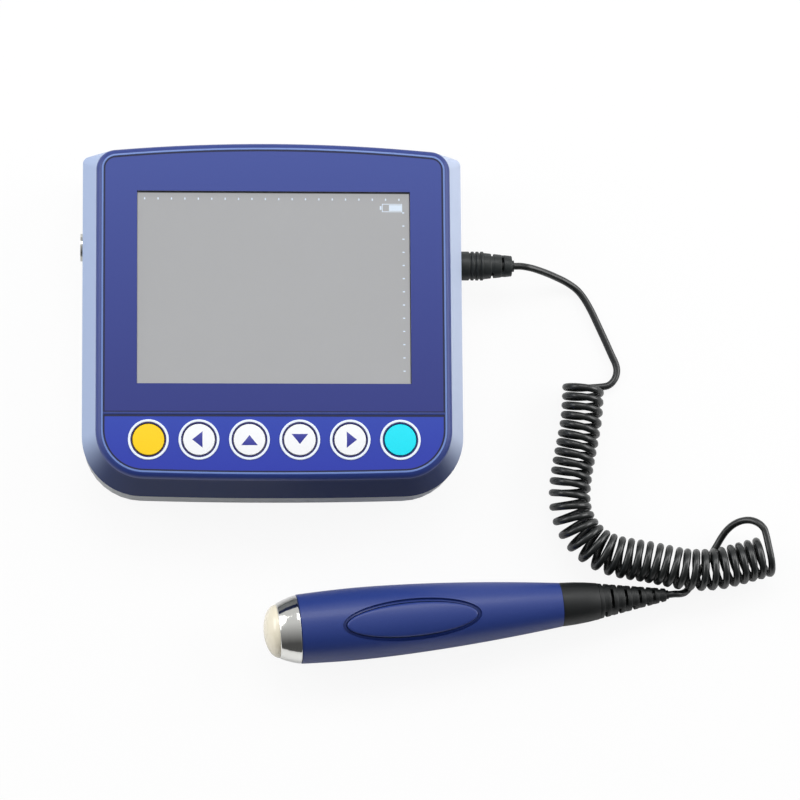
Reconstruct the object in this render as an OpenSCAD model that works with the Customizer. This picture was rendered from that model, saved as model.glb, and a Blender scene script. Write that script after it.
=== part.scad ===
// Handheld veterinary ultrasound scanner with a sector probe on a curly cord.
// Sizes are in millimetres. The origin is on the table, under the middle of the scanner.

/* [Scanner case] */
// Spread of the case beyond the rim at each side
case_flare = 5.7; // [5:0.1:8]
// Step of the case's top end back from the rim's top
case_top_in = 3; // [1:0.1:3.5]
// Reach of the case beyond the rim's lower edge
case_low_out = 5.5; // [5:0.1:7]
// Radius of the case's lower corners
case_low_r = 25; // [20:0.5:28]
// Radius of the case's top corners
case_top_r = 3; // [2:0.5:5]
// Height of the seam above the table
seam_z = 26; // [25.5:0.1:27]
// Height of the scanner's face
face_z = 43; // [42.8:0.1:45]
// Wall thickness of both shells
wall = 2.4; // [2:0.1:3]
// Step back of the rear case at the seam
seam_step = 0.5; // [0.3:0.1:0.8]
// Rounding of the rear case's bottom edge, across
foot_round = 7; // [5:0.5:8]
// Rounding of the rear case's bottom edge, upwards
foot_rise = 8; // [6:0.5:9]

/* [Rim and face] */
// Distance from the window's side to the rim's edge
frame_side = 16.85; // [16:0.05:18]
// Distance from the window's top to the rim's edge
frame_top = 20.6; // [20:0.1:23]
// Distance from the window's lower edge to the cross rib
frame_low = 12.4; // [12:0.1:13]
// Distance from the keys down to the rim's lower edge
keys_low = 16.56; // [16:0.02:18]
// Radius of the rim's top corners
rim_top_r = 8.3; // [7:0.1:10]
// Radius of the rim's lower corners
rim_low_r = 20; // [18:0.5:22]
// Rise of the arched top edge
rim_arch = 3; // [2:0.1:4]
// Bow of the lower edge
rim_bow = 0.8; // [0.4:0.1:1.2]
// Width of the rim band outside the panels
rim_band = 3.1; // [2.8:0.1:3.4]
// Fall of the rim band to its outer edge
rim_fall = 3; // [2.5:0.1:3.5]
// Inset of the rim's rounded shoulder
shoulder_in = 1; // [0.8:0.1:1.4]
// Depth of the rim's rounded shoulder
shoulder_drop = 0.8; // [0.6:0.1:1]
// Flat lip beside the panels
lip_w = 0.6; // [0.4:0.1:0.8]
// Depth of the recess that the panels lie in
recess_depth = 0.7; // [0.6:0.1:0.9]
// Radius of the recess's top corners
recess_top_r = 5; // [4:0.5:6]
// Thickness of the face plate under the panels
plate_t = 2.3; // [2:0.1:2.5]
// Thickness of the printed panels
panel_t = 0.5; // [0.4:0.1:0.6]
// Groove round the panels
groove_w = 0.35; // [0.3:0.05:0.5]
// Width of the cross rib
rib_w = 1.1; // [0.8:0.1:1.2]

/* [Screen] */
// Width of the window
window_w = 112.9; // [110:0.1:114]
// Height of the window
window_h = 80.6; // [78:0.1:82]
// Place of the window's middle above the scanner's middle
window_y = 14.7; // [14:0.1:16]
// Hidden margin of the lens round the window
lens_margin = 3; // [2.5:0.1:3.5]
// Thickness of the lens
lens_t = 1.5; // [1.2:0.1:1.6]
// Thickness of the foam gasket under the lens
gasket_t = 1.5; // [1.2:0.1:1.6]
// Reach of the screen module beyond the window at each side
lcd_side = 6.8; // [6:0.1:7]
// Reach of the screen module beyond the window at its ends, on average
lcd_end = 9.7; // [8:0.1:9.9]
// Thickness of the screen module
lcd_t = 5.7; // [5:0.1:6]
// Width of the screen's flat cable
flex_w = 24; // [20:1:30]
// Thickness of the screen's flat cable
flex_t = 0.4; // [0.3:0.1:0.5]

/* [Keys] */
// Distance from the rim's side to the middle of the outer keys
key_side = 21.65; // [21.5:0.05:22.5]
// Distance from the cross rib down to the keys
key_drop = 10.94; // [10.5:0.02:11.5]
// Radius of a key cap
key_r = 6.55; // [6:0.05:6.7]
// Clearance round a key cap
key_clear = 0.3; // [0.2:0.05:0.35]
// Rise of a key cap above the panel
key_rise = 0.6; // [0.4:0.1:0.8]
// Radius of a key's flange
flange_r = 7.7; // [7.4:0.1:7.9]
// Thickness of a key's flange
flange_t = 0.8; // [0.6:0.1:1]
// Travel of a key
key_travel = 0.7; // [0.5:0.1:0.8]
// Inner radius of a white key ring
ring_in_r = 7.35; // [7.2:0.05:7.5]
// Width of a white key ring
ring_w = 1; // [0.8:0.1:1.2]
// Thickness of a white key ring
ring_t = 0.4; // [0.3:0.1:0.5]
// Width of an arrow sign across its base
arrow_w = 6.2; // [5:0.1:7]
// Height of an arrow sign
arrow_h = 3.8; // [3:0.1:4.4]
// Depth of an arrow sign in the cap
arrow_depth = 0.2; // [0.1:0.05:0.3]
// Radius of a snap dome
dome_r = 4; // [3.5:0.1:4.5]
// Thickness of a snap dome, pressed flat
dome_t = 0.35; // [0.3:0.05:0.4]
// Reach of the key board beyond the outer keys
keyboard_side = 7.85; // [6.5:0.05:8.2]
// Width of the key board
keyboard_h = 15; // [14:0.5:16]

/* [Inside the scanner] */
// Thickness of a circuit board
board_t = 1.6; // [1.2:0.1:1.8]
// Inset of the main board from the screen module's ends
board_end = 9; // [8:0.5:12]
// Place of the main board's middle above the scanner's middle
board_y = 3; // [2:0.5:4]
// Height of the main board above the table
board_z = 20; // [19:0.5:20.5]
// Radius of a stand-off
standoff_r = 2.5; // [2:0.1:3]
// Inset of the stand-offs from the board's edges
standoff_in = 4; // [3.5:0.1:5]
// Gap between the battery pack and a stand-off
standoff_gap = 7.5; // [7:0.1:9]
// Height of the largest chip
chip_t = 2; // [1.5:0.1:2.5]
// Side of the largest chip
chip_w = 22; // [18:1:24]
// Inset of the battery pack from the window's sides
battery_side = 11.45; // [11:0.05:14]
// Inset of the battery pack from the window's ends
battery_end = 13.3; // [12.8:0.1:15]
// Thickness of the battery pack
battery_t = 15; // [12:0.5:16]
// Reach of the battery cover beyond the battery pack at each side
cover_side = 7; // [6.5:0.1:7.5]
// Reach of the battery cover beyond the battery pack at its ends
cover_end = 6; // [5.5:0.1:7]
// Thickness of the battery cover
cover_t = 1.4; // [1.2:0.1:1.5]
// Ledge that the battery cover lies on
cover_ledge = 4; // [3.5:0.1:4.5]
// Radius of a grip pad
pad_r = 6; // [5:0.5:6.5]
// Gap between the battery cover and the lower grip pads
pad_gap = 3.5; // [3:0.1:4]
// Depth of a grip pad's pocket
pad_t = 1.2; // [1:0.1:1.4]
// Width of the seal between the shells
seal_w = 0.9; // [0.7:0.1:1]
// Depth of the seal's groove
seal_t = 1; // [0.8:0.1:1.2]

/* [Screws and bosses] */
// Radius of a case screw
screw_r = 1.5; // [1.4:0.05:1.6]
// Radius of a case screw's head
head_r = 2.8; // [2.6:0.1:3]
// Thickness of a case screw's head
head_t = 2.2; // [1.8:0.1:2.4]
// Depth of a case screw's head in its post
head_z = 12; // [11:0.5:14]
// Length of a case screw below its head
screw_len = 22; // [20:0.5:23]
// Radius of a front boss
boss_r = 3; // [2.8:0.1:3.2]
// Radius of a rear post
post_r = 4.5; // [4.3:0.1:4.7]
// Reach of the front bosses below the seam
boss_drop = 1.5; // [1:0.1:2]
// Gap between a lower boss and the key board, and twice an upper boss's to the screen module
boss_gap = 1.1; // [1:0.1:1.6]
// Distance from the case's top end down to the upper bosses
boss_top_in = 22.6; // [20:0.1:25]
// Distance from the case's lower end up to the lower bosses
boss_low_in = 22.5; // [22:0.1:23]
// Radius of a cover screw
cover_screw_r = 1; // [0.9:0.05:1.1]
// Length of a cover screw
cover_screw_len = 5; // [4:0.5:6]

/* [Sockets and plug] */
// Height of both sockets above the table
socket_z = 16; // [15.5:0.1:16.5]
// Distance from the upper bosses down to the charging socket
charge_drop = 14; // [13.6:0.1:15]
// Radius of the charging socket's flange
charge_flange_r = 5.75; // [5.5:0.05:6]
// Thickness of the charging socket's flange
charge_flange_t = 1.5; // [1.2:0.1:1.8]
// Radius of the charging socket's barrel
charge_r = 4.7; // [4.5:0.1:4.9]
// Length of the charging socket's barrel
charge_len = 12; // [11:0.5:14]
// Radius of the charging socket's bore
charge_bore_r = 3.6; // [3.4:0.1:3.7]
// Depth of the charging socket's bore
charge_bore_len = 8; // [7:0.5:9]
// Radius of the contact pin in the charging socket
contact_r = 0.5; // [0.4:0.1:0.6]
// Width of the charging socket's nut across its flats
nut_w = 13; // [12:0.5:14]
// Thickness of the charging socket's nut
nut_t = 2.6; // [2:0.1:3]
// Distance from the upper bosses down to the probe socket
plug_drop = 21; // [20.5:0.1:21.5]
// Radius of the probe socket's barrel
probe_socket_r = 6.4; // [6.2:0.1:6.6]
// Length of the probe socket's barrel
probe_socket_len = 15; // [13:0.5:16]
// Radius of the probe socket's inner flange
probe_flange_r = 8; // [7.5:0.1:8.4]
// Thickness of the probe socket's inner flange
probe_flange_t = 2.6; // [2:0.1:3]
// Radius of the plug's nose
nose_r = 4; // [3.8:0.1:4.2]
// Length of the plug's nose
nose_len = 10; // [9:0.5:11]
// Radius of the plug's grip
plug_r = 6.1; // [5.8:0.1:6.3]
// Length of the plug's smooth collar
collar_len = 4; // [3.5:0.1:4.5]
// Length of the plug's ribbed grip
grip_len = 6; // [5.5:0.1:7]
// Depth of the grip's ribs
grip_rib = 0.5; // [0.4:0.1:0.6]
// Radius of the plug relief's tip
relief_tip_r = 4.2; // [4:0.1:4.6]
// Radius of the plug relief's core
relief_core_r = 2.1; // [1.9:0.1:2.3]
// Distance from the scanner's middle to the relief's tip
relief_end = 102; // [102:0.1:102.4]

/* [Cord] */
// Diameter of the cord
cord_d = 3; // [2.8:0.1:3.1]
// Radius of the curls, at the middle of the cord
curl_r = 7.4; // [7.2:0.1:7.5]

/* [Probe handle] */
// Length of the handle
handle_len = 110; // [108:0.5:112]
// Largest radius of the handle
handle_r = 15; // [14.6:0.1:15.4]
// Place of the largest radius along the handle
handle_peak = 24; // [22:0.5:26]
// Radius of the handle at the head
handle_head_r = 14.35; // [14.2:0.05:14.5]
// Radius of the handle at the boot
handle_tail_r = 9.15; // [9:0.05:9.4]
// Wall thickness of the handle
handle_wall = 2.9; // [2.6:0.1:3]
// Length of the boot
boot_len = 46; // [44:0.5:48]
// Length of the boot's smooth collar
boot_collar = 16; // [15:0.5:17]
// Radius of the boot at the first rib
boot_rib_r = 7.5; // [7.2:0.1:7.8]
// Radius of the boot's tip
boot_tip_r = 2.3; // [2.1:0.1:2.6]
// Width of a boot rib
boot_rib_w = 2; // [1.8:0.1:2.2]
// Gap between boot ribs
boot_gap = 1.1; // [1:0.1:1.3]
// Radius of the boot's spigot in the handle
spigot_r = 6.2; // [6:0.1:6.4]
// Length of the boot's spigot in the handle
spigot_len = 6; // [5:0.5:6.5]
// Length of the cable clamp
clamp_len = 4; // [3:0.5:5]

/* [Freeze button] */
// Length of the button's oval groove
oval_len = 58; // [54:0.5:60]
// Width of the button's oval groove
oval_w = 17; // [16:0.5:18]
// Width of the groove round the button
oval_groove = 1.6; // [1.4:0.1:1.8]
// Depth of the groove round the button
oval_depth = 1.2; // [1:0.1:1.4]
// Place of the button's middle along the handle
button_s = 46; // [44:0.5:48]
// Clearance round the button
button_clear = 0.3; // [0.25:0.05:0.4]
// Rise of the button above the handle
button_rise = 0.4; // [0.2:0.1:0.6]
// Thickness of the button under its top
button_t = 3.6; // [3.4:0.1:3.8]
// Travel of the button
button_travel = 0.8; // [0.6:0.1:0.9]
// Radius of the button's plunger
plunger_r = 2; // [1.5:0.1:2.5]
// Height of the plunger's lower end above the axis
plunger_z = 6.4; // [6.2:0.1:6.8]
// Length of the switch board
switch_board_len = 22; // [20:0.5:24]
// Width of the switch board
switch_board_w = 19.4; // [18:0.2:19.6]
// Height of the switch on its board
switch_t = 1.4; // [1.2:0.1:1.6]
// Side of the switch
switch_w = 5; // [4:0.5:6]

/* [Probe head] */
// Length of the chrome ring
head_len = 8.9; // [8.5:0.1:9.2]
// Radius of the chrome ring at the handle
head_back_r = 14.25; // [14.1:0.05:14.3]
// Radius of the chrome ring at the dome
head_front_r = 11.4; // [11.2:0.1:11.8]
// Bore of the chrome ring
head_bore_r = 10.1; // [9.9:0.1:10.2]
// Radius of the ring's spigot in the handle
head_spigot_r = 12.2; // [12.1:0.05:12.3]
// Length of the ring's spigot in the handle
head_spigot_len = 5; // [4.5:0.1:5.5]
// Height of the dome
dome_h = 5.7; // [5.4:0.1:6]
// Wall of the dome
dome_wall = 1.2; // [1:0.1:1.3]
// Length of the dome's skirt in the ring
skirt_len = 3; // [2.5:0.1:3.5]
// Radius of the dome seal's section
seal_r = 0.4; // [0.3:0.05:0.45]
// Thickness of the bulkhead
bulkhead_t = 3; // [2.5:0.1:3.2]
// Place of the swing axis in front of the handle
pivot_s = 3.5; // [3.3:0.1:3.8]
// Radius of the pivot pin
pivot_r = 1; // [0.9:0.05:1.1]
// Running clearance of the pivot pin
pivot_clear = 0.1; // [0.08:0.01:0.15]
// Half gap between the arms of the yoke
yoke_gap = 5.2; // [5:0.1:5.4]
// Thickness of an arm of the yoke
yoke_t = 1.5; // [1.2:0.1:1.7]
// Width of an arm of the yoke
yoke_w = 6; // [5:0.5:7]
// Radius of the yoke's base
yoke_base_r = 9.5; // [9:0.1:9.8]
// Radius of the transducer's holder
holder_r = 4.7; // [4.4:0.1:4.8]
// Length of the transducer's holder
holder_len = 3.5; // [3:0.1:3.8]
// Thickness of the transducer disc
disc_t = 1.2; // [1:0.1:1.4]
// Radius of the transducer disc
disc_r = 4.2; // [3.8:0.1:4.3]
// Side of the drive magnet
magnet_w = 4; // [3:0.2:4.2]
// Depth of the drive magnet
magnet_t = 2; // [1.6:0.1:2.1]
// Outer radius of the drive coil
coil_r = 5; // [4.5:0.1:5.4]
// Inner radius of the drive coil
coil_in_r = 2.6; // [2.4:0.1:2.8]
// Depth of the drive coil
coil_t = 1.3; // [1:0.1:1.4]

/* [Probe place] */
// Sideways place of the handle's head end
probe_x = 10.7; // [10:0.1:11]
// Distance from the scanner's middle down to the handle's head end
probe_y = 124.3; // [124:0.1:126]
// Turn of the probe on the table
probe_yaw = 5.5; // [5.4:0.1:5.6]
// Turn of the freeze button round the probe's axis
button_roll = 7; // [0:1:12]

/* [Hidden] */

// One overrun serves every cut, and one sliver every slab that a hull joins
over = 0.5;
sliver = 0.02;
// Clearance of pieces that slide into each other, and of snug holes
fit = 0.15;
snug = 0.05;

// Facets of rounds and steps of outlines
$fn = 48;
corner_steps = 9;
arch_steps = 10;

// Widths and heights of the face, from the window outwards
key_count = 6;
rim_w = window_w + 2 * frame_side;
rim_top = window_y + window_h / 2 + frame_top;
rib_y = window_h / 2 - window_y + frame_low;
key_y = rib_y + key_drop;
rim_low = key_y + keys_low;
case_w = rim_w + 2 * case_flare;
case_top = rim_top - case_top_in;
case_low = rim_low + case_low_out;
key_pitch = (rim_w - 2 * key_side) / (key_count - 1);

// Sizes of what lies inside, and the places of the bosses beside it
lcd_w = window_w + 2 * lcd_side;
lcd_h = window_h + 2 * lcd_end;
keyboard_w = (key_count - 1) * key_pitch + 2 * keyboard_side;
battery_w = window_w - 2 * battery_side;
battery_h = window_h - 2 * battery_end;
cover_w = battery_w + 2 * cover_side;
cover_h = battery_h + 2 * cover_end;
standoff_x = battery_w / 2 + standoff_gap + standoff_r;
board_w = 2 * (standoff_x + standoff_in);
board_h = lcd_h - 2 * board_end;
boss_top_x = lcd_w / 2 + boss_r + boss_gap / 2;
boss_top_y = case_top - boss_top_in;
boss_low_x = keyboard_w / 2 + boss_r + boss_gap;
boss_low_y = case_low - boss_low_in;
charge_y = boss_top_y - charge_drop;
plug_y = boss_top_y - plug_drop;

// Heights in the scanner, from the table up
rim_z = face_z - rim_fall;
recess_z = face_z - recess_depth;
panel_top = recess_z + panel_t;
ceiling_z = recess_z - plate_t;
lens_z = recess_z - lens_t;
gasket_z = lens_z - gasket_t;
lcd_z = gasket_z - lcd_t;
flange_top = ceiling_z - 2 * snug;
keyboard_top = flange_top - flange_t - key_travel - dome_t - snug;
keyboard_z = keyboard_top - board_t;
boss_z = seam_z - boss_drop;
lens_w = window_w + 2 * lens_margin;
lens_h = window_h + 2 * lens_margin;

// Points of an arc, and the outline that every level of the scanner follows
function arc_points(at, r, from, to) = [
    for (i = [0:corner_steps])
        let (a = from + (to - from) * i / corner_steps)
            [at[0] + r * cos(a), at[1] + r * sin(a)]
];
function outline(half, top, low, top_r, low_r, arch, bow) =
    let (
        top_turn = atan(2 * arch / (half - top_r)),
        low_turn = atan(2 * bow / (half - low_r)),
        top_x = half - top_r + top_r * sin(top_turn),
        low_x = half - low_r + low_r * sin(low_turn),
        top_c = top - arch - top_r * cos(top_turn),
        low_c = low_r * cos(low_turn) + bow - low
    )
    concat(
        arc_points([half - low_r, low_c], low_r, low_turn - 90, 0),
        arc_points([half - top_r, top_c], top_r, 0, 90 - top_turn),
        [for (i = [1:arch_steps - 1])
            let (x = top_x * (1 - 2 * i / arch_steps))
                if (arch > 0) [x, top - arch * pow(x / top_x, 2)]],
        arc_points([top_r - half, top_c], top_r, 90 + top_turn, 180),
        arc_points([low_r - half, low_c], low_r, 180, 270 - low_turn),
        [for (i = [1:arch_steps - 1])
            let (x = low_x * (2 * i / arch_steps - 1))
                if (bow > 0) [x, bow * pow(x / low_x, 2) - low]]
    );

// The outline at the seam and at the rim, drawn in by a distance, and the panels' recess
function seam_outline(inset) = outline(
    case_w / 2 - inset, case_top - inset, case_low - inset,
    max(case_top_r - inset, case_top_r / 2), case_low_r - inset, 0, rim_bow);
function rim_outline(inset) = outline(
    rim_w / 2 - inset, rim_top - inset, rim_low - inset,
    rim_top_r - inset, rim_low_r - inset, rim_arch, rim_bow);
function recess_outline(inset) = outline(
    rim_w / 2 - rim_band - inset, rim_top - rim_band - inset, rim_low - rim_band - inset,
    recess_top_r - inset, rim_low_r - rim_band - inset, rim_arch, rim_bow);

module slab(z, t, points) {
    translate([0, 0, z])
        linear_extrude(t)
            polygon(points);
}

module plate(w, h, t) {
    linear_extrude(t)
        square([w, h], center = true);
}

// A round bar along +X from x0 to x1
module bar_x(x0, x1, r, y, z) {
    translate([x0, y, z])
        rotate([0, 90, 0])
            cylinder(h = x1 - x0, r = r);
}

module mirror_copy() {
    children();
    mirror([1, 0, 0])
        children();
}

module at_bosses() {
    mirror_copy() {
        translate([boss_top_x, boss_top_y, 0])
            children();
        translate([boss_low_x, -boss_low_y, 0])
            children();
    }
}

// The six keys, counted from the left, at equal steps across the panel
module at_key(i) {
    translate([(i - (key_count - 1) / 2) * key_pitch, -key_y, 0])
        children();
}

// Front shell: blue moulding with the rim, the face plate, its openings and four screw bosses
module front_shell() {
    color("royalblue")
        difference() {
            union() {
                difference() {
                    hull() {
                        slab(seam_z, sliver, seam_outline(0));
                        slab(rim_z, sliver, rim_outline(0));
                        slab(face_z - shoulder_drop, sliver, rim_outline(shoulder_in));
                        slab(face_z - sliver, sliver, rim_outline(rim_band - lip_w));
                    }
                    hull() {
                        slab(seam_z - over, over, seam_outline(wall));
                        slab(ceiling_z - sliver, sliver, rim_outline(wall));
                    }
                }
                at_bosses()
                    translate([0, 0, boss_z])
                        cylinder(h = ceiling_z + over - boss_z, r = boss_r);
                key_board_posts();
            }
            panel_recess();
            translate([0, window_y, ceiling_z - over])
                plate(lens_w + 2 * fit, lens_h + 2 * fit, plate_t + 2 * over);
            for (i = [0:key_count - 1])
                at_key(i)
                    translate([0, 0, ceiling_z - over])
                        cylinder(h = plate_t + 2 * over, r = key_r + key_clear);
            at_bosses()
                translate([0, 0, boss_z - over])
                    cylinder(h = head_z + screw_len - boss_z + 2 * over, r = screw_r + snug);
        }
}

module key_board_posts() {
    for (i = [0:2:key_count - 2])
        at_key(i + 1 / 2)
            translate([0, 0, keyboard_top])
                cylinder(h = ceiling_z + over - keyboard_top, r = boss_r / 2);
}

module panel_recess() {
    translate([0, 0, recess_z])
        linear_extrude(recess_depth + over)
            difference() {
                polygon(recess_outline(0));
                translate([0, -rib_y])
                    square([rim_w, rib_w], center = true);
            }
}

// Rear case: light grey tub with posts for the case screws, the battery opening and two socket holes
module rear_case() {
    color("lightgray")
        difference() {
            union() {
                difference() {
                    rear_outside();
                    rear_inside();
                }
                at_bosses()
                    cylinder(h = boss_z, r = post_r);
                at_cover_screws()
                    translate([0, 0, cover_t + fit])
                        cylinder(h = cover_screw_len, r = cover_ledge / 2 - snug);
            }
            translate([0, 0, seam_z - seal_t])
                linear_extrude(seal_t + over)
                    seal_ring(0);
            at_bosses() {
                translate([0, 0, -over])
                    cylinder(h = head_z + over, r = head_r + 2 * fit);
                cylinder(h = seam_z, r = screw_r + fit);
            }
            translate([0, 0, -over])
                plate(cover_w + 2 * fit, cover_h + 2 * fit, cover_t + fit + over);
            translate([0, 0, -over])
                plate(cover_w - 2 * cover_ledge, cover_h - 2 * cover_ledge, wall + 2 * over);
            at_cover_screws()
                cylinder(h = cover_t + fit + cover_screw_len + over, r = cover_screw_r + snug);
            at_pads()
                translate([0, 0, -over])
                    cylinder(h = pad_t + over, r = pad_r);
            bar_x(-case_w, -case_w / 2 + 2 * wall, charge_r + snug, charge_y, socket_z);
            bar_x(case_w / 2 - 2 * wall, case_w, probe_socket_r + snug, plug_y, socket_z);
        }
}

// The tub's outer form, and the hollow in it
module rear_outside() {
    hull() {
        slab(foot_rise, seam_z - foot_rise, seam_outline(seam_step));
        slab(foot_rise / 4, sliver, seam_outline(seam_step + foot_round / 3));
        slab(0, sliver, seam_outline(seam_step + foot_round));
    }
}

module rear_inside() {
    hull() {
        slab(foot_rise, seam_z + over - foot_rise, seam_outline(seam_step + wall));
        slab(wall, sliver, seam_outline(seam_step + wall + foot_round / 2));
    }
}

// Ring in the middle of the tub's wall, for the seal
module seal_ring(inset) {
    difference() {
        polygon(seam_outline(seam_step + (wall - seal_w) / 2 + inset));
        polygon(seam_outline(seam_step + (wall + seal_w) / 2 - inset));
    }
}

module at_cover_screws() {
    mirror_copy()
        translate([(cover_w - cover_ledge) / 2, 0, 0])
            children();
}

module at_pads() {
    mirror_copy() {
        translate([case_w / 2 - 4 * pad_r, case_top - 4 * pad_r, 0])
            children();
        translate([case_w / 2 - 4 * pad_r, -cover_h / 2 - pad_gap - pad_r, 0])
            children();
    }
}

// Seal between the shells, a rubber cord in the rear case's groove
module case_seal() {
    color("dimgray")
        translate([0, 0, seam_z - seal_t])
            linear_extrude(seal_t)
                seal_ring(snug);
}

// Display panel: printed blue frame, glued in the recess round the window
module display_panel() {
    color("slateblue")
        translate([0, 0, recess_z])
            linear_extrude(panel_t)
                difference() {
                    polygon(recess_outline(groove_w));
                    translate([0, -rim_low - rib_y + rib_w / 2 + groove_w / 2])
                        square([rim_w, 2 * rim_low], center = true);
                    translate([0, window_y])
                        square([window_w, window_h], center = true);
                }
}

// Keypad panel: lower printed panel with a hole for each key
module keypad_panel() {
    color("mediumblue")
        translate([0, 0, recess_z])
            linear_extrude(panel_t)
                difference() {
                    polygon(recess_outline(groove_w));
                    translate([0, rim_top - rib_y - rib_w / 2 - groove_w / 2])
                        square([rim_w, 2 * rim_top], center = true);
                    for (i = [0:key_count - 1])
                        translate([(i - (key_count - 1) / 2) * key_pitch, -key_y])
                            circle(r = key_r + key_clear);
                }
}

// Lens: clear plate in the shell's opening, under the printed panel
module display_lens() {
    color("lightslategray")
        translate([0, window_y, lens_z])
            plate(lens_w, lens_h, lens_t);
}

// Foam gasket between the lens and the screen module
module lcd_gasket() {
    color("black")
        translate([0, window_y, gasket_z])
            difference() {
                plate(lens_w, lens_h, gasket_t);
                translate([0, 0, -over])
                    plate(window_w, window_h, gasket_t + 2 * over);
            }
}

// Screen module in its metal frame, and the flat cable to the main board
module lcd_module() {
    color("silver")
        translate([0, window_y - (lcd_h - lens_h) / 4, lcd_z])
            difference() {
                plate(lcd_w, lcd_h, lcd_t);
                translate([0, (lcd_h - lens_h) / 4, lcd_t - panel_t])
                    plate(window_w, window_h, panel_t + over);
            }
}

module lcd_cable() {
    drop_y = board_y - board_h / 2 + flex_w / 2;
    color("orange")
        translate([-flex_w / 2, 0, 0]) {
            translate([0, drop_y, lcd_z - flex_t])
                cube([flex_w, flex_w / 3, flex_t]);
            translate([0, drop_y, board_z + board_t])
                cube([flex_w, flex_t, lcd_z - board_z - board_t - flex_t]);
        }
}

// White rings stuck on the keypad panel round the keys
module key_rings() {
    color("white")
        for (i = [0:key_count - 1])
            at_key(i)
                translate([0, 0, panel_top])
                    difference() {
                        cylinder(h = ring_t, r = ring_in_r + ring_w);
                        translate([0, 0, -over])
                            cylinder(h = ring_t + 2 * over, r = ring_in_r);
                    }
}

// A key: cap with a bevelled edge on a flange that the face plate holds
module key_cap(i) {
    top = panel_top + key_rise;
    at_key(i)
        translate([0, 0, flange_top - flange_t]) {
            cylinder(h = flange_t, r = flange_r);
            cylinder(h = top - flange_top + flange_t - arrow_depth, r = key_r);
            translate([0, 0, top - flange_top + flange_t - arrow_depth])
                children();
        }
}

module cap_top() {
    cylinder(h = arrow_depth, r1 = key_r, r2 = key_r - arrow_depth);
}

module arrow_cap(turn) {
    difference() {
        cap_top();
        rotate([0, 0, turn])
            linear_extrude(arrow_depth + over)
                polygon([[-arrow_w / 2, -arrow_h / 2], [arrow_w / 2, -arrow_h / 2], [0, arrow_h / 2]]);
    }
}

module key_power() {
    color("gold")
        key_cap(0)
            cap_top();
}

module key_left() {
    color("whitesmoke")
        key_cap(1)
            arrow_cap(90);
}

module key_up() {
    color("whitesmoke")
        key_cap(2)
            arrow_cap(0);
}

module key_down() {
    color("whitesmoke")
        key_cap(3)
            arrow_cap(180);
}

module key_right() {
    color("whitesmoke")
        key_cap(4)
            arrow_cap(-90);
}

module key_set() {
    color("deepskyblue")
        key_cap(5)
            cap_top();
}

// Snap domes under the keys, on the key board
module key_domes() {
    color("silver")
        for (i = [0:key_count - 1])
            at_key(i)
                translate([0, 0, keyboard_top])
                    cylinder(h = dome_t, r = dome_r);
}

module key_board() {
    color("seagreen")
        translate([0, -key_y, keyboard_z])
            plate(keyboard_w, keyboard_h, board_t);
}

// Main board with its largest chips, on four brass stand-offs
module main_board() {
    color("darkgreen")
        translate([0, board_y, board_z]) {
            plate(board_w, board_h, board_t);
            translate([-chip_w, chip_w / 2, board_t])
                plate(chip_w, chip_w, chip_t);
            translate([chip_w, chip_w / 2, board_t])
                plate(chip_w * 2 / 3, chip_w * 2 / 3, chip_t);
        }
}

module board_standoffs() {
    color("goldenrod")
        mirror_copy()
            for (side = [-1, 1])
                translate([standoff_x, board_y + side * (board_h / 2 - standoff_in), wall])
                    cylinder(h = board_z - wall, r = standoff_r);
}

// Battery pack on its cover, which two screws hold in the rear case
module battery_pack() {
    color("dodgerblue")
        translate([0, 0, cover_t + fit])
            plate(battery_w, battery_h, battery_t);
}

module battery_cover() {
    color("gray")
        difference() {
            plate(cover_w, cover_h, cover_t);
            at_cover_screws()
                translate([0, 0, -over])
                    cylinder(h = cover_t + 2 * over, r = cover_screw_r + snug);
        }
}

module cover_screws() {
    color("silver")
        at_cover_screws()
            translate([0, 0, snug])
                cylinder(h = cover_t + cover_screw_len - snug, r = cover_screw_r);
}

module case_screws() {
    color("silver")
        at_bosses() {
            translate([0, 0, head_z])
                cylinder(h = screw_len, r = screw_r);
            translate([0, 0, head_z - head_t])
                cylinder(h = head_t, r = head_r);
        }
}

module grip_pads() {
    color("black")
        at_pads()
            cylinder(h = pad_t, r = pad_r - snug);
}

// Charging socket on the left side, its nut, and the probe socket on the right side
rear_half = case_w / 2 - seam_step;
module charge_socket() {
    face = -rear_half - charge_flange_t;
    color("silver") {
        difference() {
            union() {
                bar_x(face, -rear_half, charge_flange_r, charge_y, socket_z);
                bar_x(-rear_half, charge_len - rear_half, charge_r, charge_y, socket_z);
            }
            bar_x(face - over, face + charge_bore_len, charge_bore_r, charge_y, socket_z);
        }
        bar_x(face + charge_bore_len * 3 / 4, face + charge_bore_len + over, contact_r, charge_y, socket_z);
    }
}

module socket_nut() {
    color("silver")
        translate([wall - rear_half, charge_y, socket_z])
            rotate([0, 90, 0])
                difference() {
                    cylinder(h = nut_t, r = nut_w / 2 / cos(30), $fn = 6);
                    translate([0, 0, -over])
                        cylinder(h = nut_t + 2 * over, r = charge_r + snug);
                }
}

module probe_socket() {
    inner = rear_half - wall;
    color("dimgray")
        difference() {
            union() {
                bar_x(rear_half - probe_socket_len, rear_half, probe_socket_r, plug_y, socket_z);
                bar_x(inner - probe_flange_t, inner, probe_flange_r, plug_y, socket_z);
            }
            bar_x(rear_half - nose_len - fit, rear_half + over, nose_r + snug, plug_y, socket_z);
        }
}

// Plug: nose in the socket, smooth collar and ribbed grip, turned round the plug's axis
module turned_x(points) {
    rotate([90, 0, 90])
        rotate_extrude()
            polygon([for (p = points) [p[1], p[0]]]);
}

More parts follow.
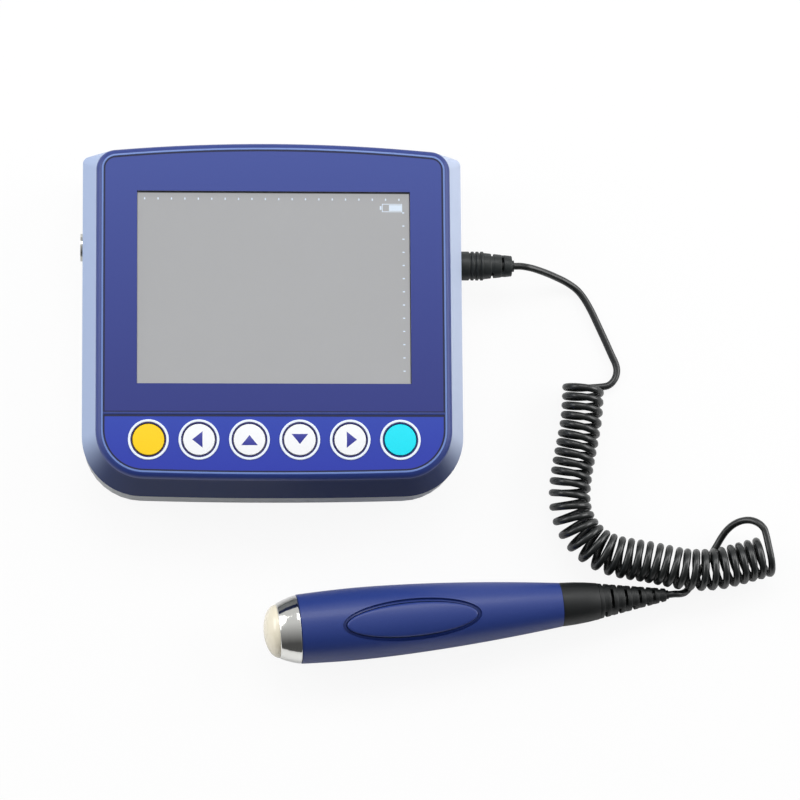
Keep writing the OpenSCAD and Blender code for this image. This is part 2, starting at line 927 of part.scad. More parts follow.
plug_x = case_w / 2;
grip_end = plug_x + collar_len + grip_len;
module plug_body() {
    rib = grip_len / 6;
    start = plug_x + collar_len;
    color("black")
        translate([0, plug_y, socket_z])
            turned_x(concat(
                [[rear_half - nose_len, 0], [rear_half - nose_len, nose_r], [plug_x, nose_r],
                 [plug_x, plug_r], [start, plug_r]],
                [for (i = [0:2], p = [[0, plug_r - grip_rib], [1, plug_r - grip_rib], [1, plug_r], [2, plug_r]])
                    [start + rib * (2 * i + p[0]), p[1]]],
                [[grip_end, 0]]
            ));
}

// Relief: a core with two tapering blocks and open notches between them
relief_len = relief_end - grip_end;
relief_share = [0.07, 0.62, 0.74, 1];
function relief_r(share) = plug_r - grip_rib + (relief_tip_r - plug_r + grip_rib) * share;
module plug_relief() {
    color("black")
        translate([grip_end, plug_y, socket_z])
            turned_x(concat(
                [[0, 0]],
                [for (i = [0:3])
                    for (r = i % 2 == 0 ? [relief_core_r, relief_r(relief_share[i])]
                                        : [relief_r(relief_share[i]), relief_core_r])
                        if (i < 3 || r > relief_core_r) [relief_len * relief_share[i], r]],
                [[relief_len, 0]]
            ));
}

// Cord: axis of the curls, with the number of curls in each stretch between two points
curl_axis = [
    [131.5, -20.5, 9.2], [131.1, -27.9, 9.2], [130.4, -35.3, 9.2], [129.1, -42.6, 9.2],
    [127.6, -49.8, 9.2], [126.2, -57.1, 9.2], [125.2, -64.5, 9.2], [125.2, -71.9, 9.2],
    [127.2, -79, 9.2], [131.1, -85.2, 9.2], [136.8, -90, 9.2], [143.5, -92.9, 9.3],
    [150.7, -94.5, 10.1], [158, -95.8, 11], [165.2, -97.4, 11.7], [172.4, -98.9, 12.2],
    [179.8, -99.3, 12.3], [187.2, -98.7, 11.9], [194.4, -97, 11], [201.4, -95, 10],
    [208.5, -93, 9.2]
];
curl_counts = [
    1.875, 1.75, 1.75, 1.875, 1.875, 1.75, 1.5, 1.5, 1.5, 1.5, 1.5, 1.75, 1.875, 1.875, 1.75,
    1.75, 1.75, 1.75, 1.875, 1.875
];
upper_stretches = 7;
curl_rings = 8;
curl_sides = 6;
cord_sides = 8;

// Free stretches: from the plug down to the table, and from the curls round to the boot
lead_points = [
    [102, 29, 16], [105, 29, 16], [108, 28.7, 15.4], [111, 28.3, 13.8], [114.5, 27.6, 11.6],
    [118, 26.8, 9.2], [121.5, 25.8, 6.8], [125, 24.6, 4.6], [128.5, 22.8, 2.8], [131, 20.8, 2],
    [133.2, 18, 1.7], [135, 15, 1.6], [136.8, 11.5, 1.5], [138.6, 7.5, 1.5], [140.6, 3, 1.5],
    [142.8, -2, 1.5], [144.8, -6.7, 1.5], [146.4, -10.4, 1.5], [146.8, -13.6, 1.6],
    [145.8, -16.8, 1.8], [143.5, -19.3, 2.1]
];
tail_points = [
    [205.5, -81.7, 15.8], [203.3, -79.6, 14.8], [200.5, -78.4, 12.9], [197.4, -78.4, 10.4],
    [194.4, -79.6, 7.7], [191.8, -81.8, 5.2], [189.8, -84.6, 3.2], [188, -87.7, 2],
    [186, -91, 1.6], [183.6, -94.6, 1.5], [181, -98.2, 1.5], [178.6, -101.6, 1.8],
    [176.2, -105.1, 3.2], [173.8, -107.8, 5.8], [171.2, -108.9, 8.3]
];

function unit(v) = v / norm(v);
function turns_before(k) = k == 0 ? 0 : turns_before(k - 1) + curl_counts[k - 1];
function axis_point(k) =
    k < 0 ? 2 * curl_axis[0] - curl_axis[1]
    : k >= len(curl_axis) ? 2 * curl_axis[k - 1] - curl_axis[k - 2]
    : curl_axis[k];
function axis_at(k, t) =
    let (a = axis_point(k - 1), b = axis_point(k), c = axis_point(k + 1), d = axis_point(k + 2))
    (2 * b + (c - a) * t + (2 * a - 5 * b + 4 * c - d) * t * t + (3 * b - a - 3 * c + d) * t * t * t) / 2;
function axis_way(k, t) =
    let (a = axis_point(k - 1), b = axis_point(k), c = axis_point(k + 1), d = axis_point(k + 2))
    let (v = (c - a) + 2 * (2 * a - 5 * b + 4 * c - d) * t + 3 * (3 * b - a - 3 * c + d) * t * t)
    unit([v[0], v[1], 0]);
function curl_point(k, t) =
    let (way = axis_way(k, t), turn = 180 / curl_rings - 90 - 360 * (turns_before(k) + curl_counts[k] * t))
    axis_at(k, t) + curl_r * [-way[1] * cos(turn), way[0] * cos(turn), sin(turn)];

// Middle of the cord through all curls, and the way of the axis beside each point
curl_steps = [
    for (k = [0:len(curl_counts) - 1])
        for (i = [0:curl_rings * curl_counts[k] - 1])
            [k, i / (curl_rings * curl_counts[k])]
];
curl_last = [len(curl_counts) - 1, 1];
curl_wire = [for (s = concat(curl_steps, [curl_last])) curl_point(s[0], s[1])];
curl_ways = [for (s = concat(curl_steps, [curl_last])) axis_way(s[0], s[1])];
wire_end = len(curl_wire) - 1;
split = curl_rings * turns_before(upper_stretches);
curl_in = curl_wire[0] - cord_d * unit(curl_wire[1] - curl_wire[0]);
curl_out = curl_wire[wire_end] + cord_d * unit(curl_wire[wire_end] - curl_wire[wire_end - 1]);
curl_middle = (curl_wire[split] + curl_wire[split + 1]) / 2;

// Least gap of the cord to itself through all curls
function least_gap(wire) = min([
    for (i = [0:len(wire) - 1])
        for (j = [i + curl_rings / 2 + 1:len(wire) - 1])
            norm(wire[i] - wire[j])
]) - cord_d;

// A tube swept along points, with one side turned to the guide beside each point
module tube(points, guides, sides) {
    last = len(points) - 1;
    rings = [
        for (i = [0:last])
            let (
                way = unit(points[min(i + 1, last)] - points[max(i - 1, 0)]),
                side = unit(guides[i] - (guides[i] * way) * way),
                top = cross(way, side)
            )
            for (j = [0:sides - 1])
                points[i] + cord_d / 2 * (cos(360 * j / sides) * side + sin(360 * j / sides) * top)
    ];
    walls = [
        for (i = [0:last - 1])
            for (j = [0:sides - 1])
                let (a = i * sides + j, b = i * sides + (j + 1) % sides)
                for (face = [[a, a + sides, b + sides], [a, b + sides, b]])
                    face
    ];
    ends = [
        for (j = [1:sides - 2])
            for (face = [[0, j, j + 1], [last * sides, last * sides + j + 1, last * sides + j]])
                face
    ];
    polyhedron(points = rings, faces = concat(walls, ends));
}

module cord_lead() {
    way = unit(curl_in - curl_wire[0]);
    points = concat(lead_points, [curl_in + cord_d * way, curl_in]);
    color("black")
        tube(points, [for (p = points) [0, 0, 1]], cord_sides);
}

module curly_upper() {
    echo(least_gap = least_gap(curl_wire), curls = turns_before(len(curl_counts)));
    color("black")
        tube(
            concat([curl_in], [for (i = [0:split]) curl_wire[i]], [curl_middle]),
            concat([curl_ways[0]], [for (i = [0:split]) curl_ways[i]], [curl_ways[split]]),
            curl_sides
        );
}

module curly_lower() {
    color("black")
        tube(
            concat([curl_middle], [for (i = [split + 1:wire_end]) curl_wire[i]], [curl_out]),
            concat([curl_ways[split]], [for (i = [split + 1:wire_end]) curl_ways[i]], [curl_ways[wire_end]]),
            curl_sides
        );
}

module cord_tail() {
    way = unit(curl_out - curl_wire[wire_end]);
    tip = probe_point(handle_len + boot_len);
    points = concat(
        [curl_out, curl_out + cord_d * way],
        tail_points,
        [tip + cord_d * probe_way, tip]
    );
    color("black")
        tube(points, [for (p = points) [0, 0, 1]], cord_sides);
}

// Probe: radius along the handle, which swells and then tapers
taper_power = 1.75;
handle_steps = 16;
function handle_radius(s) =
    s < handle_peak
        ? handle_r - (handle_r - handle_head_r) * pow(1 - s / handle_peak, taper_power)
        : handle_r - (handle_r - handle_tail_r) * pow((s - handle_peak) / (handle_len - handle_peak), taper_power);

// The probe lies on the table where its weight does, at about two fifths of the handle
rest_share = 7 / 16;
rest_s = handle_len * rest_share;
rest_step = handle_len / handle_steps;
probe_dip = atan((handle_radius(rest_s - rest_step) - handle_radius(rest_s + rest_step)) / (2 * rest_step));
probe_z = handle_radius(rest_s) * cos(probe_dip) + rest_s * sin(probe_dip) + snug;
probe_way = [cos(probe_yaw) * cos(probe_dip), sin(probe_yaw) * cos(probe_dip), -sin(probe_dip)];
function probe_point(s) = [probe_x, -probe_y, probe_z] + s * probe_way;

module on_probe() {
    translate([probe_x, -probe_y, probe_z])
        rotate([0, probe_dip, probe_yaw])
            children();
}

// A solid turned round the probe's axis, from distances along it and radii
module on_probe_turned(points) {
    on_probe()
        turned_x(points);
}

function handle_profile(from, to, inset) = [
    for (i = [0:handle_steps])
        let (s = from + (to - from) * i / handle_steps)
            [s, handle_radius(s) - inset]
];

module oval(inset) {
    a = oval_len / 2 - inset;
    b = oval_w / 2 - inset;
    r = (a * a + b * b) / (2 * b);
    intersection() {
        translate([0, r - b])
            circle(r = r, $fn = 160);
        translate([0, b - r])
            circle(r = r, $fn = 160);
    }
}

module oval_prism(inset) {
    rotate([button_roll, 0, 0])
        translate([button_s, 0, 0])
            linear_extrude(handle_r + over)
                oval(inset);
}

hole_in = oval_groove - button_clear;
cavity_front = head_spigot_len + bulkhead_t + 2 * fit;
cavity_back = handle_len - spigot_len - clamp_len;
module probe_handle() {
    color("mediumblue")
        on_probe()
            difference() {
                turned_x(concat([[0, 0]], handle_profile(0, handle_len, 0), [[handle_len, 0]]));
                turned_x(concat(
                    [[-over, 0], [-over, head_spigot_r + snug], [cavity_front, head_spigot_r + snug]],
                    handle_profile(cavity_front, handle_len - spigot_len - clamp_len, handle_wall),
                    [[cavity_back, spigot_r + snug], [handle_len + over, spigot_r + snug], [handle_len + over, 0]]
                ));
                intersection() {
                    oval_prism(0);
                    button_layer(-over, oval_depth);
                }
                oval_prism(hole_in);
            }
}

// A shell between two depths under the handle's surface, beside the button
module button_layer(top, bottom) {
    from = button_s - oval_len / 2 - over;
    to = button_s + oval_len / 2 + over;
    outer = handle_profile(from, to, top);
    inner = handle_profile(from, to, bottom);
    turned_x(concat(outer, [for (i = [handle_steps:-1:0]) inner[i]]));
}

module freeze_button() {
    color("mediumblue")
        on_probe() {
            intersection() {
                oval_prism(oval_groove);
                button_layer(-button_rise, button_t);
            }
            rotate([button_roll, 0, 0])
                translate([button_s, 0, plunger_z])
                    cylinder(h = handle_r - button_t - plunger_z, r = plunger_r);
        }
}

module freeze_board() {
    top = plunger_z - button_travel - snug;
    color("seagreen")
        on_probe()
            rotate([button_roll, 0, 0])
                translate([button_s, 0, top - switch_t - board_t]) {
                    plate(switch_board_len, switch_board_w, board_t);
                    plate(switch_w, switch_w, board_t + switch_t);
                }
}

// Boot: spigot in the handle, smooth collar, then ribs that shrink towards the cord
rib_count = floor((boot_len - boot_collar) / (boot_rib_w + boot_gap));
function boot_radius(share) = boot_rib_r + (boot_tip_r - boot_rib_r) * min(share, 1);
module probe_boot() {
    from = handle_len + boot_collar;
    core = cord_d / 2 + 2 * fit;
    color("black")
        on_probe()
            difference() {
                turned_x(concat(
                    [[handle_len - spigot_len, 0], [handle_len - spigot_len, spigot_r],
                     [handle_len, spigot_r], [handle_len, handle_tail_r - snug]],
                    [for (i = [0:rib_count - 1])
                        let (s = from + i * (boot_rib_w + boot_gap), r = boot_radius(i / (rib_count - 1)))
                            for (p = [[s, i == 0 ? boot_rib_r : r], [s, core], [s + boot_gap, core], [s + boot_gap, r]])
                                p],
                    [[handle_len + boot_len, boot_tip_r], [handle_len + boot_len, 0]]
                ));
                wire_bar(handle_len - spigot_len - over, handle_len + boot_len + over, cord_d / 2 + snug);
            }
}

module wire_bar(from, to, r) {
    turned_x([[from, 0], [from, r], [to, r], [to, 0]]);
}

module probe_wire() {
    color("dimgray")
        on_probe()
            wire_bar(cavity_front, handle_len + boot_len, cord_d / 2);
}

module cable_clamp() {
    clamp_from = cavity_back - clamp_len;
    color("gray")
        on_probe()
            difference() {
                wire_bar(clamp_from, cavity_back, handle_radius(cavity_back) - handle_wall - fit);
                wire_bar(clamp_from - over, cavity_back + over, cord_d / 2 + snug);
            }
}

// Head: ring screwed into the handle, dome and its seal
module head_ring() {
    color("gainsboro")
        on_probe()
            difference() {
                turned_x([
                    [-head_len, head_bore_r], [-head_len, head_front_r - fit],
                    [fit - head_len, head_front_r], [-3 * seal_r, head_back_r - fit],
                    [0, head_back_r], [0, head_spigot_r],
                    [head_spigot_len, head_spigot_r], [head_spigot_len, head_bore_r]
                ]);
                seal_form(seal_r + snug);
            }
}

module seal_form(r) {
    rotate([90, 0, 90])
        translate([0, 0, seal_r - head_len])
            rotate_extrude()
                translate([(head_bore_r + head_front_r) / 2, 0])
                    circle(r = r);
}

module dome_seal() {
    color("black")
        on_probe()
            seal_form(seal_r);
}

dome_steps = 10;
function dome_profile(r, h) = [
    for (i = [0:dome_steps])
        [-head_len - h * cos(90 * i / dome_steps), r * sin(90 * i / dome_steps)]
];
module probe_dome() {
    out_r = head_front_r - fit;
    in_r = head_bore_r - snug - dome_wall;
    color("cornsilk")
        on_probe()
            turned_x(concat(
                dome_profile(out_r, dome_h),
                [[-head_len, head_bore_r - snug], [skirt_len - head_len, head_bore_r - snug],
                 [skirt_len - head_len, in_r]],
                [for (p = [for (i = [dome_steps:-1:0]) dome_profile(in_r, dome_h - dome_wall)[i]]) p]
            ));
}

// Bulkhead behind the ring closes the oil chamber, and carries the yoke and the drive coil
bulkhead_s = head_spigot_len + fit;
module bulkhead() {
    color("gray")
        on_probe()
            wire_bar(bulkhead_s, bulkhead_s + bulkhead_t, head_spigot_r - snug);
}

module scan_yoke() {
    base_s = bulkhead_s - yoke_t;
    color("silver")
        on_probe()
            difference() {
                union() {
                    wire_bar(base_s, bulkhead_s, yoke_base_r);
                    for (side = [-1, 1])
                        translate([-pivot_s - yoke_w / 2, -yoke_w / 2, side * (yoke_gap + yoke_t / 2) - yoke_t / 2])
                            cube([bulkhead_s + pivot_s + yoke_w / 2, yoke_w, yoke_t]);
                }
                pivot_bar(yoke_gap + yoke_t + over, pivot_r + snug / 2);
            }
}

module pivot_bar(half, r) {
    translate([-pivot_s, 0, -half])
        cylinder(h = 2 * half, r = r);
}

module pivot_pin() {
    color("lightgray")
        on_probe()
            pivot_bar(yoke_gap + yoke_t, pivot_r);
}

// Carrier on the pin, with the disc in front and the drive magnet behind
holder_back = -pivot_s - pivot_r - fit - pivot_clear;
disc_back = holder_back - holder_len;
carrier_h = 2 * (yoke_gap - 2 * fit);
module transducer_carrier() {
    color("dimgray")
        on_probe()
            difference() {
                union() {
                    wire_bar(disc_back, holder_back, holder_r);
                    translate([-pivot_s, 0, -carrier_h / 2])
                        cylinder(h = carrier_h, r = 2 * pivot_r + fit);
                    translate([-pivot_s, -magnet_w / 4, -magnet_w / 2])
                        cube([magnet_at, magnet_w / 2, magnet_w]);
                }
                pivot_bar(yoke_gap, pivot_r + pivot_clear);
            }
}

magnet_at = 3 * pivot_r;
module drive_magnet() {
    color("darkslategray")
        on_probe()
            translate([magnet_at - pivot_s, -magnet_w / 2, -magnet_w / 2])
                cube([magnet_t, magnet_w, magnet_w]);
}

module transducer_disc() {
    color("tan")
        on_probe()
            wire_bar(disc_back - disc_t, disc_back, disc_r);
}

module drive_coil() {
    base_s = bulkhead_s - yoke_t;
    color("peru")
        on_probe()
            difference() {
                wire_bar(base_s - coil_t, base_s, coil_r);
                wire_bar(base_s - coil_t - over, base_s + over, coil_in_r);
            }
}

front_shell();
rear_case();
case_seal();
display_panel();
display_lens();
lcd_gasket();
lcd_module();
lcd_cable();
keypad_panel();
key_rings();
key_power();
key_left();
key_up();
key_down();
key_right();
key_set();
key_domes();
key_board();
main_board();
board_standoffs();
battery_pack();
battery_cover();
cover_screws();
case_screws();
grip_pads();
charge_socket();
socket_nut();
probe_socket();
plug_body();
plug_relief();
cord_lead();
curly_upper();
curly_lower();
cord_tail();
probe_handle();
probe_boot();
probe_wire();
cable_clamp();
bulkhead();
scan_yoke();
pivot_pin();
transducer_carrier();
transducer_disc();
drive_magnet();
drive_coil();
head_ring();
dome_seal();
probe_dome();
freeze_button();
freeze_board();
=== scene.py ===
"""Handheld ultrasound scanner with a curly cord and a sector probe, built piece by piece."""
import math

import bmesh
import bpy
from mathutils import Matrix, Vector


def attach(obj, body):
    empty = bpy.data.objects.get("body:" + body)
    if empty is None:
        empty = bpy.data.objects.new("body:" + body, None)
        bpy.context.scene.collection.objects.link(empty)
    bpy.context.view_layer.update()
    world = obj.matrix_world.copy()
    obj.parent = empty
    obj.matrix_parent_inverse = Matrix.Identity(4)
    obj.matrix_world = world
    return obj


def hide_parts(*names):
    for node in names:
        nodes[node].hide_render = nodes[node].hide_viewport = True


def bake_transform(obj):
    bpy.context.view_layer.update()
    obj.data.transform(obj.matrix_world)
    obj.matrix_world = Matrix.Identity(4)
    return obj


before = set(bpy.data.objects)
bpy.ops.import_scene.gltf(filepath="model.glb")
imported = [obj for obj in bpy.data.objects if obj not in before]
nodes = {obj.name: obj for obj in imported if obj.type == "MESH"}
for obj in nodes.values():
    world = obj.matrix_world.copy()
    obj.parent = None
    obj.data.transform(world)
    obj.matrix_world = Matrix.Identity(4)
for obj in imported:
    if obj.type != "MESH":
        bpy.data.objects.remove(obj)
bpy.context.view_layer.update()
MM = 0.001

# Camera: a long lens high over the scanner, fitted to the photograph and rolled so that the
# scanner's lower edge lies level in the picture.
camera_at = Vector((-0.05904, -0.27765, 1.61764))
camera_aim = Vector((0.0516, -0.03237, 0.043))
camera_roll = math.radians(24.108)
camera_lens = 174.78
camera_sensor = 36
ahead = (camera_aim - camera_at).normalized()
side = ahead.cross(Vector((0, 0, 1))).normalized()
rise = side.cross(ahead)
right = side * math.cos(camera_roll) + rise * math.sin(camera_roll)
up = rise * math.cos(camera_roll) - side * math.sin(camera_roll)
camera = bpy.data.objects.new("camera", bpy.data.cameras.new("camera"))
bpy.context.scene.collection.objects.link(camera)
camera.matrix_world = Matrix.Translation(camera_at) @ Matrix((right, up, -ahead)).transposed().to_4x4()
camera.data.lens = camera_lens
camera.data.sensor_width = camera_sensor
bpy.context.scene.camera = camera


# Cord: one length of limp black rubber cable, smooth to the table, wound in tight curls,
# then smooth again into the probe's boot. It is moulded into the plug and the boot.
cord_d = 0.003
curl_r = 0.0074
curl_steps = 20
curl_phase = 22.5 - 90
curl_clip = 0.5 / 8
cord_sides = 12
curl_axis = [
    (0.1315, -0.0205, 0.0092), (0.1311, -0.0279, 0.0092), (0.1304, -0.0353, 0.0092),
    (0.1291, -0.0426, 0.0092), (0.1276, -0.0498, 0.0092), (0.1262, -0.0571, 0.0092),
    (0.1252, -0.0645, 0.0092), (0.1252, -0.0719, 0.0092), (0.1272, -0.079, 0.0092),
    (0.1311, -0.0852, 0.0092), (0.1368, -0.09, 0.0092), (0.1435, -0.0929, 0.0093),
    (0.1507, -0.0945, 0.0101), (0.158, -0.0958, 0.011), (0.1652, -0.0974, 0.0117),
    (0.1724, -0.0989, 0.0122), (0.1798, -0.0993, 0.0123), (0.1872, -0.0987, 0.0119),
    (0.1944, -0.097, 0.011), (0.2014, -0.095, 0.01), (0.2085, -0.093, 0.0092),
]
curl_counts = [1.875, 1.75, 1.75, 1.875, 1.875, 1.75, 1.5, 1.5, 1.5, 1.5, 1.5, 1.75, 1.875, 1.875,
               1.75, 1.75, 1.75, 1.75, 1.875, 1.875]
lead_points = [
    (0.102, 0.029, 0.016), (0.105, 0.029, 0.016), (0.108, 0.0287, 0.0154),
    (0.111, 0.0283, 0.0138), (0.1145, 0.0276, 0.0116), (0.118, 0.0268, 0.0092),
    (0.1215, 0.0258, 0.0068), (0.125, 0.0246, 0.0046), (0.1285, 0.0228, 0.0028),
    (0.131, 0.0208, 0.002), (0.1332, 0.018, 0.0017), (0.135, 0.015, 0.0016),
    (0.1368, 0.0115, 0.0015), (0.1386, 0.0075, 0.0015), (0.1406, 0.003, 0.0015),
    (0.1428, -0.002, 0.0015), (0.1448, -0.0067, 0.0015), (0.1464, -0.0104, 0.0015),
    (0.1468, -0.0136, 0.0016), (0.1458, -0.0168, 0.0018), (0.1435, -0.0193, 0.0021),
    (0.1403, -0.0202, 0.0023),
]
tail_points = [
    (0.2066, -0.0844, 0.0161), (0.2055, -0.0817, 0.0158), (0.2033, -0.0796, 0.0148),
    (0.2005, -0.0784, 0.0129), (0.1974, -0.0784, 0.0104), (0.1944, -0.0796, 0.0077),
    (0.1918, -0.0818, 0.0052), (0.1898, -0.0846, 0.0032), (0.188, -0.0877, 0.002),
    (0.186, -0.091, 0.0016), (0.1836, -0.0946, 0.0015), (0.181, -0.0982, 0.0015),
    (0.1786, -0.1016, 0.0018), (0.1762, -0.1051, 0.0032), (0.1738, -0.1078, 0.0058),
    (0.1712, -0.1089, 0.0083),
]


def extended(points):
    """The points as vectors, with one more at each end to start and finish a smooth curve."""
    points = [Vector(p) for p in points]
    return [2 * points[0] - points[1]] + points + [2 * points[-1] - points[-2]]


def smooth_at(a, b, c, d, t):
    """The point at a share of the way from b to c, on a smooth curve through all four."""
    return (2 * b + (c - a) * t + (2 * a - 5 * b + 4 * c - d) * t * t
            + (3 * b - a - 3 * c + d) * t * t * t) / 2


def smooth_path(points, steps):
    """Points of one smooth curve through the given points."""
    through = extended(points)
    path = []
    for a, b, c, d in zip(through, through[1:], through[2:], through[3:]):
        path += [smooth_at(a, b, c, d, i / steps) for i in range(steps)]
    return path + [Vector(points[-1])]


def curl_path(first, last):
    """Points round the curls, from one count of turns to another."""
    axis = extended(curl_axis)
    path = []
    steps = round((last - first) * curl_steps)
    for i in range(steps + 1):
        turns = first + (last - first) * i / steps
        k = 0
        before = 0
        while k < len(curl_counts) - 1 and turns > before + curl_counts[k]:
            before += curl_counts[k]
            k += 1
        t = (turns - before) / curl_counts[k]
        a, b, c, d = axis[k:k + 4]
        way = (c - a) + 2 * (2 * a - 5 * b + 4 * c - d) * t + 3 * (3 * b - a - 3 * c + d) * t * t
        way = Vector((way.x, way.y, 0)).normalized()
        turn = math.radians(curl_phase - 360 * turns)
        across = Vector((-way.y, way.x, 0))
        ray = math.cos(turn) * across + math.sin(turn) * Vector((0, 0, 1))
        path.append(smooth_at(a, b, c, d, t) + curl_r * ray)
    return path


def make_object(name, points, faces):
    """A mesh object from points and faces, with its faces turned outwards."""
    mesh = bpy.data.meshes.new(name)
    mesh.from_pydata([tuple(p) for p in points], [], faces)
    mesh.validate()
    bm = bmesh.new()
    bm.from_mesh(mesh)
    bmesh.ops.recalc_face_normals(bm, faces=bm.faces)
    bm.to_mesh(mesh)
    bm.free()
    made = bpy.data.objects.new(name, mesh)
    bpy.context.scene.collection.objects.link(made)
    return made


def loft(name, rings, capped=True, looped=False):
    """A skin over rings that all have the same number of points."""
    count = len(rings[0])
    points = [p for ring in rings for p in ring]
    faces = []
    for r in range(len(rings) if looped else len(rings) - 1):
        a, b = r * count, (r + 1) % len(rings) * count
        for i in range(count):
            after = (i + 1) % count
            faces.append((a + i, a + after, b + after, b + i))
    if capped:
        last = (len(rings) - 1) * count
        faces += [tuple(range(count))[::-1], tuple(range(last, last + count))]
    return make_object(name, points, faces)


def tube(name, path, r, sides):
    """A round tube along a path."""
    rings = []
    across = Vector((0, 0, 1))
    turns = [math.tau * j / sides for j in range(sides)]
    for i, at in enumerate(path):
        way = (path[min(i + 1, len(path) - 1)] - path[max(i - 1, 0)]).normalized()
        across = (across - across.dot(way) * way).normalized()
        over = way.cross(across)
        rings.append([at + r * (math.cos(turn) * across + math.sin(turn) * over) for turn in turns])
    return loft(name, rings)


def linear(red, green, blue):
    """A colour given as 0 to 255 on a screen, as a shader takes it."""
    def part(c):
        c = c / 255
        return c / 12.92 if c <= 0.04045 else ((c + 0.055) / 1.055) ** 2.4
    return (part(red), part(green), part(blue), 1)


grain_depth = 0.02 * MM


def finish(name, colour, rough, metal=0, grain=900, shade=0.08, bump=0.15, coat=0):
    """A procedural finish: a grain of the given density per metre shades it and raises it slightly."""
    material = bpy.data.materials.new(name)
    material.use_nodes = True
    tree = material.node_tree
    shader = tree.nodes["Principled BSDF"]
    shader.inputs["Metallic"].default_value = metal
    shader.inputs["Coat Weight"].default_value = coat
    shader.inputs["Coat Roughness"].default_value = 0.08
    place = tree.nodes.new("ShaderNodeTexCoord")
    noise = tree.nodes.new("ShaderNodeTexNoise")
    noise.inputs["Scale"].default_value = grain
    noise.inputs["Detail"].default_value = 4
    tint = tree.nodes.new("ShaderNodeMix")
    tint.data_type = "RGBA"
    tint.inputs["A"].default_value = [c * (1 - shade) for c in colour[:3]] + [1]
    tint.inputs["B"].default_value = [min(1, c * (1 + shade)) for c in colour[:3]] + [1]
    polish = tree.nodes.new("ShaderNodeMapRange")
    polish.inputs["To Min"].default_value = max(rough - 0.05, 0.01)
    polish.inputs["To Max"].default_value = min(rough + 0.05, 1)
    raised = tree.nodes.new("ShaderNodeBump")
    raised.inputs["Strength"].default_value = bump
    raised.inputs["Distance"].default_value = grain_depth
    link = tree.links.new
    link(place.outputs["Object"], noise.inputs["Vector"])
    link(noise.outputs["Fac"], tint.inputs["Factor"])
    link(noise.outputs["Fac"], polish.inputs["Value"])
    link(noise.outputs["Fac"], raised.inputs["Height"])
    link(tint.outputs["Result"], shader.inputs["Base Color"])
    link(polish.outputs["Result"], shader.inputs["Roughness"])
    link(raised.outputs["Normal"], shader.inputs["Normal"])
    return material


def dress(piece, material, smooth=35):
    """Gives a piece its finish, and smooth shading up to an angle."""
    piece.data.materials.clear()
    piece.data.materials.append(material)
    piece.data.shade_smooth()
    piece.data.set_sharp_from_angle(angle=math.radians(smooth))
    return piece


def fit(piece, material, body, slot, *replaced, smooth=35):
    """Dresses a new piece and hangs it on its body, in place of the CAD nodes that it stands for."""
    dress(piece, material, smooth)
    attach(piece, body)
    if replaced:
        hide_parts(*replaced)
    return piece


# The handle's axis gives the way in which the cord enters the boot
probe_yaw = math.radians(5.5)
probe_dip = math.radians(2.62045)
probe_start = Vector((0.0107, -0.1243, 0.016603))
probe_turn = Matrix.Rotation(probe_yaw, 4, "Z") @ Matrix.Rotation(probe_dip, 4, "Y")
boot_end = 0.156


def probe_point(s):
    """A point on the handle's axis, at a distance from its head end."""
    return probe_start + probe_turn @ Vector((s, 0, 0))


def cord_route():
    """The middle line of the whole cord: lead, curls and tail."""
    curls = curl_path(curl_clip, sum(curl_counts) - curl_clip)
    lead = smooth_path(lead_points + [curls[0]], 3)[:-1]
    into_boot = [probe_point(boot_end + cord_d), probe_point(boot_end)]
    tail = smooth_path([curls[-1]] + tail_points + into_boot, 4)
    return lead + curls + tail[1:]


cord_black = finish("cord_rubber", linear(15, 19, 19), 0.36, grain=2500, shade=0.25, bump=0.15, coat=0.3)
route = cord_route()
cord = tube("cord", route, cord_d / 2, cord_sides)
dress(cord, cord_black, 60)
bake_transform(cord)
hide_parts("cord_lead", "curly_upper", "curly_lower", "cord_tail")


# Plug: moulded over the connector and the cord's end, with a smooth collar, a ribbed grip
# and a relief whose staggered slots let it bend. It is one black rubber moulding.
plug_axis = Vector((0, 0.029, 0.016))


def turned(name, profile, turn, sides=64, span=None):
    """A solid turned round the local X axis from (distance, radius) pairs, or a sector of it."""
    rings = []
    if span:
        start, end = math.radians(span[0]), math.radians(span[1])
        steps = max(3, round(sides * (end - start) / math.tau))
        for i in range(steps + 1):
            a = start + (end - start) * i / steps
            rings.append([turn @ Vector((s, r * math.sin(a), r * math.cos(a))) for s, r in profile])
        return loft(name, rings)
    for i in range(sides):
        a = math.tau * i / sides
        rings.append([turn @ Vector((s, r * math.sin(a), r * math.cos(a))) for s, r in profile])
    return loft(name, rings, capped=False, looped=True)


corner_steps = 3


def rounded(profile, r):
    """A profile whose corners between its two ends are rounded by a small radius."""
    out = [profile[0]]
    for a, b, c in zip(profile, profile[1:], profile[2:]):
        a, b, c = Vector(a), Vector(b), Vector(c)
        cut = min(r, (a - b).length * 0.45, (c - b).length * 0.45)
        if cut < 1e-6:
            out.append(tuple(b))
            continue
        p, q = b + (a - b).normalized() * cut, b + (c - b).normalized() * cut
        for i in range(corner_steps + 1):
            t = i / corner_steps
            out.append(tuple((1 - t) ** 2 * p + 2 * t * (1 - t) * b + t * t * q))
    return out + [profile[-1]]


def joined(name, pieces):
    """Several meshes as one object."""
    bm = bmesh.new()
    for piece in pieces:
        bm.from_mesh(piece.data)
        bpy.data.objects.remove(piece)
    mesh = bpy.data.meshes.new(name)
    bm.to_mesh(mesh)
    bm.free()
    made = bpy.data.objects.new(name, mesh)
    bpy.context.scene.collection.objects.link(made)
    return made


plug_turn = Matrix.Translation(plug_axis)
case_half = 79 * MM
plug_r = 6.1 * MM
pin_r = 4 * MM
pin_len = 10.5 * MM
collar_len = 4 * MM
rib_count = 3
rib_pitch = 2 * MM
rib_gap = 0.8 * MM
rib_dip = 0.6 * MM
plug_rubber = finish("plug_rubber", linear(26, 31, 31), 0.5, grain=1800, shade=0.2, bump=0.25, coat=0.05)
axis_r = 0.02 * MM


